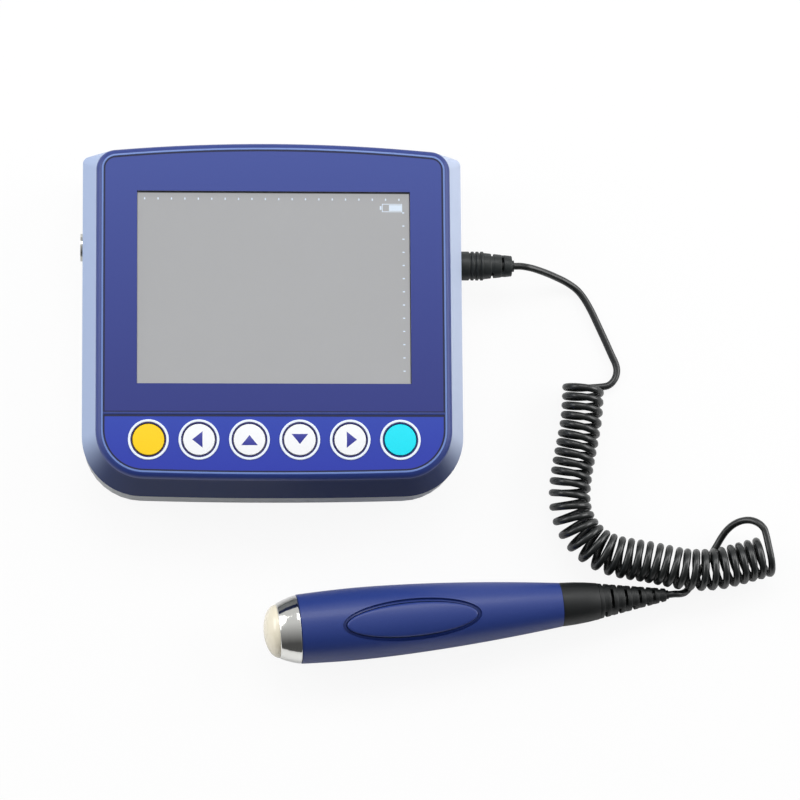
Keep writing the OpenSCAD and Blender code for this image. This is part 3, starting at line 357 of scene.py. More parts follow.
def slotted(name, start, end, start_r, end_r, core_r, count, turn, slot_share, bridge=46):
    """A tapered relief: blocks on a core, with bridges between them that step round by a quarter turn."""
    def taper(at):
        return start_r + (end_r - start_r) * (at - start) / (end - start)

    pieces = [turned(name, [(start, axis_r), (start, core_r), (end, core_r), (end, axis_r)], turn)]
    pitch = (end - start) / count
    sunk = core_r * 0.9
    for i in range(count):
        a = start + pitch * i
        b = a + pitch * (1 - slot_share)
        ring = rounded([(a, sunk), (a, taper(a)), (b, taper(b)), (b, sunk)], 0.35 * MM)
        pieces.append(turned(name, ring, turn))
        if i < count - 1:
            wide = pitch * 0.1
            c = b + pitch * slot_share
            bar = [(b - wide, sunk), (b - wide, taper(b) * 0.97), (c + wide, taper(c) * 0.97),
                   (c + wide, sunk)]
            for half in (0, 180):
                middle = half + (i % 2) * 90
                pieces.append(turned(name, bar, turn, span=(middle - bridge, middle + bridge)))
    return joined(name, pieces)


collar = [(case_half - pin_len, axis_r), (case_half - pin_len, pin_r), (case_half, pin_r),
          (case_half, plug_r), (case_half + collar_len, plug_r)]
for rib in range(rib_count):
    rib_at = case_half + collar_len + rib * rib_pitch
    collar += [(rib_at, plug_r - rib_dip), (rib_at + rib_gap, plug_r - rib_dip), (rib_at + rib_gap, plug_r),
               (rib_at + rib_pitch, plug_r)]
plug_end = case_half + collar_len + rib_count * rib_pitch
collar += [(plug_end, axis_r)]
plug_piece = turned("plug", rounded(collar, 0.3 * MM), plug_turn)
plug = fit(plug_piece, plug_rubber, "scanner", "cord_black", "plug_body")
relief = slotted("plug_relief_slotted", plug_end - 0.1 * MM, plug_end + 13 * MM, 5.6 * MM, 4.2 * MM,
                 2.4 * MM, 3, plug_turn, slot_share=0.22)
fit(relief, plug_rubber, "scanner", "cord_black", "plug_relief")


# Rear case: light grey moulding with a fine texture, screwed from behind. The seal lies in its
# rim, rubber pads stand in its pockets, and the battery cover closes its floor.
case_grey = finish("rear_case_grey", linear(176, 179, 182), 0.5, grain=3000, shade=0.05, bump=0.35)
pad_rubber = finish("pad_rubber", linear(42, 43, 45), 0.8, grain=2500, shade=0.2, bump=0.5)
screw_steel = finish("zinc_steel", linear(170, 172, 176), 0.32, metal=1, grain=1500, shade=0.12)
for name in ("rear_case", "battery_cover"):
    dress(nodes[name], case_grey)
for name in ("case_seal", "grip_pads"):
    dress(nodes[name], pad_rubber)
for name in ("case_screws", "cover_screws"):
    dress(nodes[name], screw_steel)


# Front shell: blue moulding whose side walls flare down to the seam. Its rim stands round the
# two printed panels, and a narrow rib crosses between them.
case_w = 158 * MM
case_top = 72.6 * MM
case_low = 71 * MM
rim_w = 146.6 * MM
rim_top = 75.6 * MM
rim_low = 65.5 * MM
seam_z = 26 * MM
rim_z = 40 * MM
face_z = 43 * MM
recess_z = 42.3 * MM
ceiling_z = 40 * MM
wall = 2.4 * MM
rib_y = 38 * MM
rib_w = 1.1 * MM
rim_band = 3.1 * MM
case_top_r = 3 * MM
case_top_least_r = 1.5 * MM
case_low_r = 25 * MM
rim_top_r = 8.3 * MM
rim_low_r = 20 * MM
recess_top_r = 5 * MM
rim_arch = 3 * MM
low_bow = 0.8 * MM
arc_steps = 16


def outline(half, top, low, top_r, low_r, arch, bow, z):
    """The scanner's outline at one height, with an arched top and a slightly bowed lower edge."""
    top_turn = math.atan(2 * arch / (half - top_r))
    low_turn = math.atan(2 * bow / (half - low_r))
    top_x = half - top_r + top_r * math.sin(top_turn)
    low_x = half - low_r + low_r * math.sin(low_turn)
    top_c = top - arch - top_r * math.cos(top_turn)
    low_c = low_r * math.cos(low_turn) + bow - low
    quarter = math.pi / 2
    points = []

    def arc(x, y, r, start, end):
        for i in range(arc_steps + 1):
            a = start + (end - start) * i / arc_steps
            points.append(Vector((x + r * math.cos(a), y + r * math.sin(a), z)))

    arc(half - low_r, low_c, low_r, low_turn - quarter, 0)
    arc(half - top_r, top_c, top_r, 0, quarter - top_turn)
    for i in range(1, arc_steps):
        x = top_x * (1 - 2 * i / arc_steps)
        points.append(Vector((x, top - arch * (x / top_x) ** 2, z)))
    arc(top_r - half, top_c, top_r, quarter + top_turn, math.pi)
    arc(low_r - half, low_c, low_r, math.pi, 3 * quarter - low_turn)
    for i in range(1, arc_steps):
        x = low_x * (2 * i / arc_steps - 1)
        points.append(Vector((x, bow * (x / low_x) ** 2 - low, z)))
    return points


def seam_ring(inset, z):
    """The foot of the shell, where it meets the rear case."""
    return outline(case_w / 2 - inset, case_top - inset, case_low - inset,
                   max(case_top_r - inset, case_top_least_r), case_low_r - inset, 0, low_bow, z)


def rim_ring(inset, z):
    """The rim that stands round the panels."""
    return outline(rim_w / 2 - inset, rim_top - inset, rim_low - inset, rim_top_r - inset, rim_low_r - inset,
                   rim_arch, low_bow, z)


def recess_ring(inset, z):
    """The edge of the recess inside the rim, in which the panels lie."""
    inset += rim_band
    return outline(rim_w / 2 - inset, rim_top - inset, rim_low - inset, recess_top_r - inset + rim_band,
                   rim_low_r - inset, rim_arch, low_bow, z)


def between(a, b, t):
    """A ring at a share of the way from one ring to another."""
    return [p.lerp(q, t) for p, q in zip(a, b)]


def settled(piece):
    """A piece with its modifiers worked into its mesh."""
    bpy.context.view_layer.update()
    mesh = bpy.data.meshes.new_from_object(piece.evaluated_get(bpy.context.evaluated_depsgraph_get()))
    piece.modifiers.clear()
    piece.data = mesh
    return piece


def cut(piece, *tools):
    """Cuts solids out of a piece, and clears them away."""
    for tool in tools:
        modifier = piece.modifiers.new("cut", "BOOLEAN")
        modifier.operation = "DIFFERENCE"
        modifier.solver = "EXACT"
        modifier.object = tool
    settled(piece)
    for tool in tools:
        bpy.data.objects.remove(tool)


def block(name, low, high):
    """A plain box between two corners, as a cutter or a blank for bevelling."""
    (x, y, z), (u, v, w) = low, high
    ring = [(x, y), (u, y), (u, v), (x, v)]
    return loft(name, [[Vector((p, q, z)) for p, q in ring], [Vector((p, q, w)) for p, q in ring]])


def softened(piece, width, segments=3):
    """A piece with its sharp edges bevelled."""
    bevel = piece.modifiers.new("edge", "BEVEL")
    bevel.width = width
    bevel.segments = segments
    bevel.angle_limit = math.radians(40)
    return settled(piece)


def upright(at):
    """Turns a lathed piece so that its axis stands at a place."""
    return Matrix.Translation(at) @ Matrix.Rotation(-math.pi / 2, 4, "Y")


key_y = -48.94 * MM
key_pitch = 20.66 * MM
key_r = 6.55 * MM
cap_r = 6.45 * MM
key_places = [Vector(((i - 2.5) * key_pitch, key_y, 0)) for i in range(6)]
window_w = 112.9 * MM
window_h = 80.6 * MM
window_y = 14.7 * MM
key_gap = 0.3 * MM
lens_lap = 3.15 * MM
rib_inset = 3.15 * MM
shelf_w = 3 * MM
plate_inset = 2.6 * MM
cutter_low, cutter_high = 30 * MM, 50 * MM
rib_low, rib_high = -rib_y - rib_w / 2, -rib_y + rib_w / 2
skirt_low, skirt_high = seam_ring(0, seam_z + 0.3 * MM), rim_ring(0, rim_z)
rim_profile = [(0.2, 40.9), (0.5, 41.6), (1, 42.2), (1.7, 42.66), (2.3, 42.92), (2.8, 43), (3.02, 42.96),
               (3.1, 42.8)]
outer = [seam_ring(0.3 * MM, seam_z)] + [between(skirt_low, skirt_high, i / 8) for i in range(9)]
skirt_rings = len(outer) - 1
outer += [rim_ring(inset * MM, z * MM) for inset, z in rim_profile]
outer += [recess_ring(0, recess_z + 0.05 * MM), recess_ring(0.05 * MM, recess_z)]
outer += [recess_ring(shelf_w, recess_z)]
inner = [rim_ring(wall + shelf_w, ceiling_z), rim_ring(wall, ceiling_z), seam_ring(wall, seam_z)]
shell = loft("front_shell_blue", outer + inner, capped=False, looped=True)
plate_low, plate_high = recess_ring(plate_inset, ceiling_z), recess_ring(plate_inset, recess_z)
face_plate = loft("face_plate", [plate_low, plate_high])
lens_half_w, lens_half_h = window_w / 2 + lens_lap, window_h / 2 + lens_lap
window_cut = block("window_cut", (-lens_half_w, window_y - lens_half_h, cutter_low),
                   (lens_half_w, window_y + lens_half_h, cutter_high))
hole_r = key_r + key_gap
hole = [(cutter_low, axis_r), (cutter_low, hole_r), (cutter_high, hole_r), (cutter_high, axis_r)]
key_cuts = [turned("key_cut", hole, upright(at)) for at in key_places]
cut(face_plate, window_cut, *key_cuts)
cross_rib = softened(block("cross_rib", (rib_inset - rim_w / 2, rib_low, ceiling_z),
                           (rim_w / 2 - rib_inset, rib_high, face_z)), 0.25 * MM)
shell = joined("front_shell_blue", [shell, face_plate, cross_rib])
shell_blue = finish("shell_blue", linear(34, 54, 124), 0.44, grain=2200, shade=0.06, bump=0.3)
# A lighter blue on the rim's inner top edge: a painted highlight.
rim_highlight_blue = finish("rim_painted_highlight", linear(104, 130, 192), 0.36, grain=2200, shade=0.06, bump=0.3)
# Dark navy on the rim's inner step and along the panels' edges: painted shade.
groove_painted_shade = finish("groove_painted_shade", linear(14, 20, 62), 0.5, grain=2200, shade=0.1)


def skirt_reflection_finish():
    """Flared walls with painted reflection: slate blue below, pale steel blue at the sides, whiter at the
    right.
    """
    material = finish("skirt_painted_reflection", linear(30, 46, 92), 0.5, grain=1800, shade=0.05, bump=0.1)
    tree = material.node_tree
    tree.nodes["Principled BSDF"].inputs["Specular IOR Level"].default_value = 0.2
    place = tree.nodes["Texture Coordinate"]
    facing = tree.nodes.new("ShaderNodeSeparateXYZ")
    sides = tree.nodes.new("ShaderNodeMapRange")
    sides.inputs["From Min"].default_value = -0.75
    sides.inputs["From Max"].default_value = 0.05
    sides.interpolation_type = "SMOOTHSTEP"
    # Painted reflection: walls facing sideways or up turn pale steel blue, and walls facing the near side
    # stay slate.
    blue = tree.nodes.new("ShaderNodeMix")
    blue.data_type = "RGBA"
    blue.inputs["B"].default_value = linear(158, 174, 206)
    along = tree.nodes.new("ShaderNodeSeparateXYZ")
    # Painted reflection: white is mixed into the pale walls, more of it towards the right side.
    pale = tree.nodes.new("ShaderNodeMapRange")
    pale.inputs["From Min"].default_value = -case_half
    pale.inputs["From Max"].default_value = case_half
    pale.inputs["To Max"].default_value = 0.25
    white = tree.nodes.new("ShaderNodeMix")
    white.data_type = "RGBA"
    white.inputs["B"].default_value = linear(232, 236, 244)
    both = tree.nodes.new("ShaderNodeMath")
    both.operation = "MULTIPLY"
    link = tree.links.new
    link(place.outputs["Normal"], facing.inputs["Vector"])
    link(facing.outputs["Y"], sides.inputs["Value"])
    link(sides.outputs["Result"], blue.inputs["Factor"])
    link(tree.nodes["Mix"].outputs["Result"], blue.inputs["A"])
    link(place.outputs["Object"], along.inputs["Vector"])
    link(along.outputs["X"], pale.inputs["Value"])
    link(pale.outputs["Result"], both.inputs[0])
    link(sides.outputs["Result"], both.inputs[1])
    link(both.outputs[0], white.inputs["Factor"])
    link(blue.outputs["Result"], white.inputs["A"])
    link(white.outputs["Result"], tree.nodes["Principled BSDF"].inputs["Base Color"])
    return material


fit(shell, shell_blue, "scanner", "case_blue", "front_shell", smooth=50)
for material in (skirt_reflection_finish(), rim_highlight_blue, groove_painted_shade):
    shell.data.materials.append(material)
ring_points = len(plate_low)
# Faces on the rim's inner top edge take the painted highlight.
highlight_rings = range(skirt_rings + 5, skirt_rings + 7)
# Faces down the rim's inner step into the recess take the painted shade.
shade_rings = range(skirt_rings + 7, skirt_rings + 10)
for polygon in shell.data.polygons:
    ring = polygon.index // ring_points
    if ring < skirt_rings:
        polygon.material_index = 1
    elif ring in highlight_rings:
        polygon.material_index = 2
    elif ring in shade_rings:
        polygon.material_index = 3


# Printed panels: a blue frame glued round the window, and the keypad panel under the rib.
# A raised white ring stands round each key, with a flat ring of darker blue inside it.
panel_t = 0.5 * MM


def panel_finish(name, top_colour, low_colour, top_y, low_y):
    """A printed film, coloured a lighter blue at its upper edge and a darker blue at its lower one."""
    material = finish(name, top_colour, 0.32, grain=1500, shade=0.03, bump=0.12, coat=0.12)
    tree = material.node_tree
    place = tree.nodes["Texture Coordinate"]
    split = tree.nodes.new("ShaderNodeSeparateXYZ")
    along = tree.nodes.new("ShaderNodeMapRange")
    along.inputs["From Min"].default_value = low_y
    along.inputs["From Max"].default_value = top_y
    depth = tree.nodes.new("ShaderNodeMix")
    depth.data_type = "RGBA"
    depth.inputs["A"].default_value = low_colour
    tree.links.new(place.outputs["Object"], split.inputs["Vector"])
    tree.links.new(split.outputs["Y"], along.inputs["Value"])
    tree.links.new(along.outputs["Result"], depth.inputs["Factor"])
    tint = tree.nodes["Mix"]
    tree.links.new(tint.outputs["Result"], depth.inputs["B"])
    tree.links.new(depth.outputs["Result"], tree.nodes["Principled BSDF"].inputs["Base Color"])
    return material


display_blue = panel_finish("display_panel_blue", linear(52, 70, 146), linear(40, 50, 124), rim_top, -rib_y)
keypad_blue = panel_finish("keypad_panel_blue", linear(42, 66, 170), linear(32, 48, 164), -rib_y, -rim_low)
for name, material in (("display_panel", display_blue), ("keypad_panel", keypad_blue)):
    dress(nodes[name], material, 30)
# Thin dark navy strips are painted shade: they run round the panels' edge in the recess and along both sides
# of the rib, wider below it, as shadow lines where the panels meet the rim and the rib.
shade_line_z = recess_z + panel_t + 0.04 * MM
shade_line_foot = recess_z + 0.1 * MM
shade_line_in, shade_line_w, low_shade_line_w, high_shade_line_w = 0.02 * MM, 0.62 * MM, 0.8 * MM, 0.4 * MM
shade_line_out = shade_line_in + shade_line_w
shade_line_rings = [recess_ring(shade_line_in, shade_line_z), recess_ring(shade_line_out, shade_line_z),
              recess_ring(shade_line_out, shade_line_foot), recess_ring(shade_line_in, shade_line_foot)]
cross_x = rim_w / 2 - rim_band - shade_line_w
shade_lines = [loft("panel_shade_line", shade_line_rings, capped=False, looped=True)]
for low_y, high_y in ((rib_low - low_shade_line_w, rib_low), (rib_high, rib_high + high_shade_line_w)):
    shade_lines.append(block("rib_shade_line", (-cross_x, low_y, shade_line_foot), (cross_x, high_y, shade_line_z)))
fit(joined("panel_shade_lines", shade_lines), groove_painted_shade, "scanner", "case_blue")
ring_white = finish("ring_white", linear(232, 240, 250), 0.4, grain=2000, shade=0.03)
well_blue = finish("key_well_blue", linear(44, 40, 112), 0.4, grain=2000, shade=0.08)


panel_top = recess_z + panel_t
ring_low, ring_high = panel_top - 0.1 * MM, panel_top + 0.34 * MM
ring_in_r, ring_out_r = 7.35 * MM, 8.35 * MM
well_low, well_high = panel_top - 0.05 * MM, panel_top + 0.03 * MM
well_in_r, well_out_r = 6.86 * MM, 7.4 * MM
ring = [(ring_low, ring_in_r), (ring_high, ring_in_r), (ring_high, ring_out_r), (ring_low, ring_out_r)]
well = [(well_low, well_in_r), (well_high, well_in_r), (well_high, well_out_r), (well_low, well_out_r)]
rings = [turned("key_ring", rounded(ring, 0.22 * MM), upright(at), 96) for at in key_places]
wells = [turned("key_well", well, upright(at), 96) for at in key_places]
fit(joined("key_ring_set", rings), ring_white, "scanner", "ring_white", "key_rings")
fit(joined("key_well_set", wells), well_blue, "scanner", "keypad_blue")


# Keys: moulded caps with a soft edge and a slight crown, held by a flange under the face plate.
# Four carry an arrow let into the top; the first and the last are bare coloured caps.
key_top = 43.4 * MM
crown = 0.12 * MM
flange_top = 39.9 * MM
flange_foot = 39.1 * MM
flange_r = 7.7 * MM
arrow_blue = finish("arrow_blue", linear(52, 58, 150), 0.4, grain=2000, shade=0.05)
cap_finish = {
    "key_white": finish("key_white", linear(240, 242, 244), 0.36, grain=1500, shade=0.02, coat=0.1),
    "key_yellow": finish("key_yellow", linear(248, 206, 0), 0.36, grain=1500, shade=0.04, coat=0.1),
    "key_cyan": finish("key_cyan", linear(0, 222, 240), 0.36, grain=1500, shade=0.04, coat=0.1),
}
arrow_w = 7 * MM
arrow_h = 4.4 * MM
side_arrow_shift = 0.7 * MM
level_arrow_shift = -0.2 * MM


def key_cap(name, at):
    """A round cap: its flange, its side, its eased edge and its crown."""
    crown_foot = key_top - crown
    profile = [(flange_foot, axis_r), (flange_foot, flange_r), (flange_top, flange_r), (flange_top, cap_r),
               (crown_foot - 0.25 * MM, cap_r), (crown_foot, cap_r - 0.2 * MM)]
    for step in (4, 3, 2, 1):
        profile.append((key_top - crown * (step / 5) ** 2, (cap_r - 0.25 * MM) * step / 5))
    profile += [(key_top, axis_r)]
    return turned(name, profile, upright(at), 96)


def arrow(name, at, turn):
    """A triangular inlay flush with the crown of a cap."""
    corners = [(-arrow_w / 2, -arrow_h / 2), (arrow_w / 2, -arrow_h / 2), (0, arrow_h / 2)]
    shift = side_arrow_shift if abs(turn) == 90 else level_arrow_shift
    place = Matrix.Translation(at) @ Matrix.Rotation(math.radians(turn), 4, "Z")
    place = place @ Matrix.Translation((0, shift, 0))
    levels = (key_top - 0.3 * MM, key_top + 0.02 * MM)
    rings = [[place @ Vector((x, y, z)) for x, y in corners] for z in levels]
    return softened(loft(name, rings), 0.15 * MM, 2)


keys = [("key_power", "key_yellow", None), ("key_left", "key_white", 90), ("key_up", "key_white", 0),
        ("key_down", "key_white", 180), ("key_right", "key_white", -90), ("key_set", "key_cyan", None)]
for at, (name, slot, turn) in zip(key_places, keys):
    body = name.removeprefix("key_") + "_key"
    fit(key_cap(name + "_cap", at), cap_finish[slot], body, slot, name)
    if turn is not None:
        fit(arrow(name + "_arrow", at, turn), arrow_blue, body, "key_white")


# Screen: a clear window under the printed frame, a foam gasket, and a lit panel in a metal frame.
# The picture is plain grey, with depth and width ticks and a battery sign.
def glass(name, colour, rough):
    """A clear window that light passes through."""
    material = bpy.data.materials.new(name)
    material.use_nodes = True
    shader = material.node_tree.nodes["Principled BSDF"]
    shader.inputs["Base Color"].default_value = colour
    shader.inputs["Roughness"].default_value = rough
    shader.inputs["Transmission Weight"].default_value = 1
    shader.inputs["IOR"].default_value = 1.3
    return material


def glow(name, colour, shade):
    """A lit surface with a soft unevenness across it."""
    material = bpy.data.materials.new(name)
    material.use_nodes = True
    tree = material.node_tree
    shader = tree.nodes["Principled BSDF"]
    shader.inputs["Roughness"].default_value = 0.5
    shader.inputs["Base Color"].default_value = (0.02, 0.02, 0.02, 1)
    shader.inputs["Emission Strength"].default_value = 1
    place = tree.nodes.new("ShaderNodeTexCoord")
    noise = tree.nodes.new("ShaderNodeTexNoise")
    noise.inputs["Scale"].default_value = 9
    tint = tree.nodes.new("ShaderNodeMix")
    tint.data_type = "RGBA"
    tint.inputs["A"].default_value = [c * (1 - shade) for c in colour[:3]] + [1]
    tint.inputs["B"].default_value = [c * (1 + shade) for c in colour[:3]] + [1]
    tree.links.new(place.outputs["Object"], noise.inputs["Vector"])
    tree.links.new(noise.outputs["Fac"], tint.inputs["Factor"])
    tree.links.new(tint.outputs["Result"], shader.inputs["Emission Color"])
    return material


lens_clear = glass("lens_clear", (0.97, 0.98, 1, 1), 0.02)
dress(nodes["display_lens"], lens_clear)
foam = finish("gasket_foam", linear(24, 24, 26), 0.9, grain=3000, shade=0.3, bump=0.6)
dress(nodes["lcd_gasket"], foam)
frame_steel = finish("screen_frame_steel", linear(150, 152, 155), 0.35, metal=0.9, grain=1200)
dress(nodes["lcd_module"], frame_steel)
picture_z = 38.95 * MM
picture_t = 0.1 * MM
picture_gap = 0.2 * MM
picture_grey = glow("picture_grey", linear(170, 170, 170), 0.03)
picture = block("screen_picture",
                (picture_gap - window_w / 2, window_y + picture_gap - window_h / 2, picture_z - picture_t),
                (window_w / 2 - picture_gap, window_y + window_h / 2 - picture_gap, picture_z))
fit(picture, picture_grey, "scanner", "screen_frame")
tick_pitch = 5.55 * MM
tick_w = 0.5 * MM
tick_h = 0.9 * MM
first_tick = 3.1 * MM
tick_inset = 2.6 * MM
marks = []


def mark(x, y, w, h):
    """Adds a small lit bar to the picture."""
    z = picture_z + 0.01 * MM
    marks.append(block("mark", (x - w / 2, y - h / 2, z - 0.05 * MM), (x + w / 2, y + h / 2, z)))


ticks_y = window_y + window_h / 2 - tick_inset
ticks_x = window_w / 2 - tick_inset
for i in range(20):
    mark(i * tick_pitch - window_w / 2 + first_tick, ticks_y, tick_w, tick_h)
for i in range(1, 14):
    mark(ticks_x, ticks_y - i * tick_pitch, tick_h, tick_w)
battery_x, battery_y = window_w / 2 - 7.6 * MM, window_y + window_h / 2 - 6.1 * MM
battery_bars = [(1.7, 0, 5.2, 2.5), (0.35, -1.6, 8.2, 0.3), (0.35, 1.6, 8.2, 0.3), (4.4, 0, 0.3, 3.5),
                (-3.7, 0, 0.3, 3.5), (-4.4, 0, 0.7, 1.6)]
for x, y, w, h in battery_bars:
    mark(battery_x + x * MM, battery_y + y * MM, w * MM, h * MM)
picture_white = glow("picture_white", linear(222, 234, 246), 0.02)
fit(joined("screen_marks", marks), picture_white, "scanner", "screen_frame")


# Sockets: a nickel-plated barrel for the charger, held by a nut in the left wall, and a black
# moulded socket for the probe's plug in the right wall.
nickel = finish("nickel_plate", linear(205, 205, 200), 0.18, metal=1, grain=900, shade=0.06)
socket_black = finish("socket_black", linear(38, 38, 40), 0.5, grain=1500, shade=0.15)
for name in ("charge_socket", "socket_nut"):
    dress(nodes[name], nickel)
dress(nodes["probe_socket"], socket_black)


# Inside the scanner: the key board with its steel snap domes, the main board on brass stand-offs,
# a battery in blue wrap, and the screen's flat cable.
board_green = finish("board_green", linear(28, 92, 50), 0.4, grain=1400, shade=0.2, coat=0.2)
brass = finish("turned_brass", linear(206, 172, 96), 0.3, metal=1, grain=1500)
wrap_blue = finish("battery_wrap", linear(50, 110, 190), 0.3, grain=500, shade=0.1)
film_amber = finish("flex_film", linear(190, 120, 40), 0.35, grain=900, shade=0.15)
dome_steel = finish("dome_steel", linear(190, 190, 192), 0.28, metal=1, grain=2000)
for name, material in (("key_board", board_green), ("main_board", board_green), ("board_standoffs", brass),
                       ("battery_pack", wrap_blue), ("lcd_cable", film_amber), ("key_domes", dome_steel)):
    dress(nodes[name], material)


# Handle: satin blue tube that swells near the head and tapers to the boot, with a sparkle in the
# paint. An oval groove runs round the freeze button, over a window through the wall.
handle_len = 110 * MM
handle_r = 15 * MM
handle_peak = 24 * MM
handle_head_r = 14.35 * MM
handle_tail_r = 9.15 * MM
handle_wall = 2.9 * MM
handle_sides = 128
bore_head_r = 12.25 * MM
bore_tail_r = 6.25 * MM
bore_head_len = 8.3 * MM
bore_tail_s = 100 * MM
handle_place = Matrix.Translation(probe_start) @ probe_turn
button_roll = math.radians(7)
button_s = 46 * MM
oval_len = 58 * MM
oval_w = 17 * MM
oval_depth = 1.2 * MM
well_inset = 1.3 * MM
lip = 0.6 * MM
oval_steps = 96


def handle_radius(s):
    """The handle's outer radius, at a distance from its head end."""
    if s < handle_peak:
        return handle_r - (handle_r - handle_head_r) * abs(1 - s / handle_peak) ** 1.75
    share = min(1, (s - handle_peak) / (handle_len - handle_peak))
    return handle_r - (handle_r - handle_tail_r) * share ** 1.75


def oval_points(inset):
    """Points round the oval, drawn in by a distance."""
    a, b = oval_len / 2 - inset, oval_w / 2 - inset
    turns = [math.tau * i / oval_steps for i in range(oval_steps)]
    return [(a * math.cos(turn), b * math.sin(turn)) for turn in turns]


button_place = handle_place @ Matrix.Rotation(button_roll, 4, "X")


def oval_ring(inset, height):
    """The oval laid on the handle, at a height over its surface."""
    ring = []
    for x, y in oval_points(inset):
        r = handle_radius(button_s + x) + height
        ring.append(button_place @ Vector((button_s + x, y, math.sqrt(r * r - y * y))))
    return ring


def level_ring(inset, z):
    """The oval drawn flat, at a height over the handle's axis."""
    return [button_place @ Vector((button_s + x, y, z)) for x, y in oval_points(inset)]


body_profile = [(handle_len * i / 60, handle_radius(handle_len * i / 60)) for i in range(61)]
bore_profile = [(s, r - handle_wall) for s, r in body_profile[5:56]]
bore_profile = [(0, bore_head_r), (bore_head_len, bore_head_r)] + bore_profile
bore_profile += [(bore_tail_s, bore_tail_r), (handle_len, bore_tail_r)]
handle = turned("handle", rounded(body_profile[:2], 0) + body_profile[2:] + bore_profile[::-1], handle_place,
                handle_sides)
groove_rings = [level_ring(well_inset, 4 * MM), oval_ring(well_inset, -oval_depth), oval_ring(0, -oval_depth),
                oval_ring(0, -0.5 * MM), oval_ring(-0.15 * MM, 0), oval_ring(-lip, lip),
                level_ring(-lip, 20 * MM)]
groove_cut = loft("groove_cut", groove_rings)
cut(handle, groove_cut)


def satin(name):
    """Satin blue paint with fine sparkle: pale flecks on a deep blue."""
    material = finish(name, linear(32, 54, 124), 0.42, grain=3500, shade=0.12, bump=0.35, coat=0.05)
    tree = material.node_tree
    flecks = tree.nodes.new("ShaderNodeTexVoronoi")
    flecks.inputs["Scale"].default_value = 2600
    near = tree.nodes.new("ShaderNodeMapRange")
    near.inputs["From Min"].default_value = 0.2
    near.inputs["From Max"].default_value = 0.1
    near.inputs["To Max"].default_value = 0.35
    speck = tree.nodes.new("ShaderNodeMix")
    speck.data_type = "RGBA"
    speck.inputs["B"].default_value = linear(96, 118, 190)
    tree.links.new(tree.nodes["Texture Coordinate"].outputs["Object"], flecks.inputs["Vector"])
    tree.links.new(flecks.outputs["Distance"], near.inputs["Value"])
    tree.links.new(near.outputs["Result"], speck.inputs["Factor"])
    tree.links.new(tree.nodes["Mix"].outputs["Result"], speck.inputs["A"])
    tree.links.new(speck.outputs["Result"], tree.nodes["Principled BSDF"].inputs["Base Color"])
    return material


probe_blue = satin("probe_blue")
fit(handle, probe_blue, "probe", "probe_blue", "probe_handle")


# Freeze button: one moulded pad that follows the handle's curve, with a rounded edge, on a plunger
# over the switch. It dips into the window when it is pressed.
pad_rings = [(1.6, -3.4), (1.6, -0.35), (1.68, 0.1), (1.9, 0.32), (2.3, 0.42), (2.9, 0.44), (4, 0.44),
             (5.6, 0.44), (7.4, 0.44)]
button = loft("freeze_pad", [oval_ring(inset * MM, height * MM) for inset, height in pad_rings])
stem_low, stem_high, stem_r = 6.4 * MM, 12 * MM, 2 * MM
stem = turned("stem", [(stem_low, axis_r), (stem_low, stem_r), (stem_high, stem_r), (stem_high, axis_r)],
              button_place @ upright((button_s, 0, 0)))
fit(joined("freeze_pad", [button, stem]), probe_blue, "freeze", "probe_blue", "freeze_button", smooth=40)


# Boot: black moulding with a smooth collar on the handle and a tapered relief for the cord,
# cut by slots that step round it.
boot_collar = handle_len + 16 * MM
spigot_s = 104 * MM
spigot_r = 6.2 * MM
wire_way_r = 1.4 * MM
spigot = [(spigot_s, wire_way_r), (spigot_s, spigot_r), (handle_len, spigot_r), (handle_len, 9.1 * MM)]
spigot += [(handle_len + 1 * MM, 9.12 * MM), (handle_len + 6 * MM, 8.85 * MM),
           (handle_len + 11 * MM, 8.35 * MM), (boot_collar, 7.6 * MM), (boot_collar, wire_way_r)]
collar_piece = turned("boot_collar", rounded(spigot, 0.3 * MM), handle_place)
relief_piece = slotted("boot_relief", boot_collar - 0.05 * MM, handle_len + 46 * MM, 7.5 * MM, 2.5 * MM,
                       1.9 * MM, 10, handle_place, bridge=50, slot_share=0.36)
boot_black = finish("boot_rubber", linear(8, 12, 13), 0.48, grain=1500, shade=0.15, bump=0.2)
fit(joined("boot", [collar_piece, relief_piece]), boot_black, "probe", "cord_black", "probe_boot")


# Head: a chromed ring screwed into the handle, and a polished cream dome sealed into it. The dome
# is a thin moulded shell, with a rubber seal behind it.
head_len = 8.9 * MM
ring_bore_r = 10.1 * MM
ring_neck_r = 12.2 * MM
ring_tail = 5 * MM
chrome = finish("chrome_plate", linear(236, 236, 232), 0.1, metal=1, grain=6000, shade=0.02, bump=0)
ring_profile = [(-head_len, ring_bore_r), (-head_len, 11.1 * MM), (-8.6 * MM, 11.45 * MM),
                (-6 * MM, 12.6 * MM), (-3.2 * MM, 13.55 * MM), (-1.3 * MM, 14.05 * MM),
                (-0.5 * MM, 14.15 * MM), (-0.1 * MM, 13.95 * MM), (-0.1 * MM, ring_neck_r),
                (ring_tail, ring_neck_r), (ring_tail, ring_bore_r), (-head_len, ring_bore_r)]
chrome_ring = turned("chrome_ring", rounded(ring_profile, 0.25 * MM)[:-1], handle_place, 96)
fit(chrome_ring, chrome, "probe", "chrome", "head_ring")
dome_cream = finish("dome_cream", linear(236, 228, 206), 0.22, grain=800, shade=0.02, bump=0.05, coat=0.4)
dome_h = 5.68 * MM
dome_r = 11.05 * MM
hollow_h = 4.4 * MM
hollow_r = 8.8 * MM


def dome_arc(h, r, angles):
    """Points of a flattened arc in front of the ring, from its tip at 0 degrees to its foot at 90."""
    arc = []
    for angle in angles:
        a = math.radians(angle)
        arc.append((-head_len - h * math.cos(a), max(r * math.sin(a), axis_r)))
    return arc


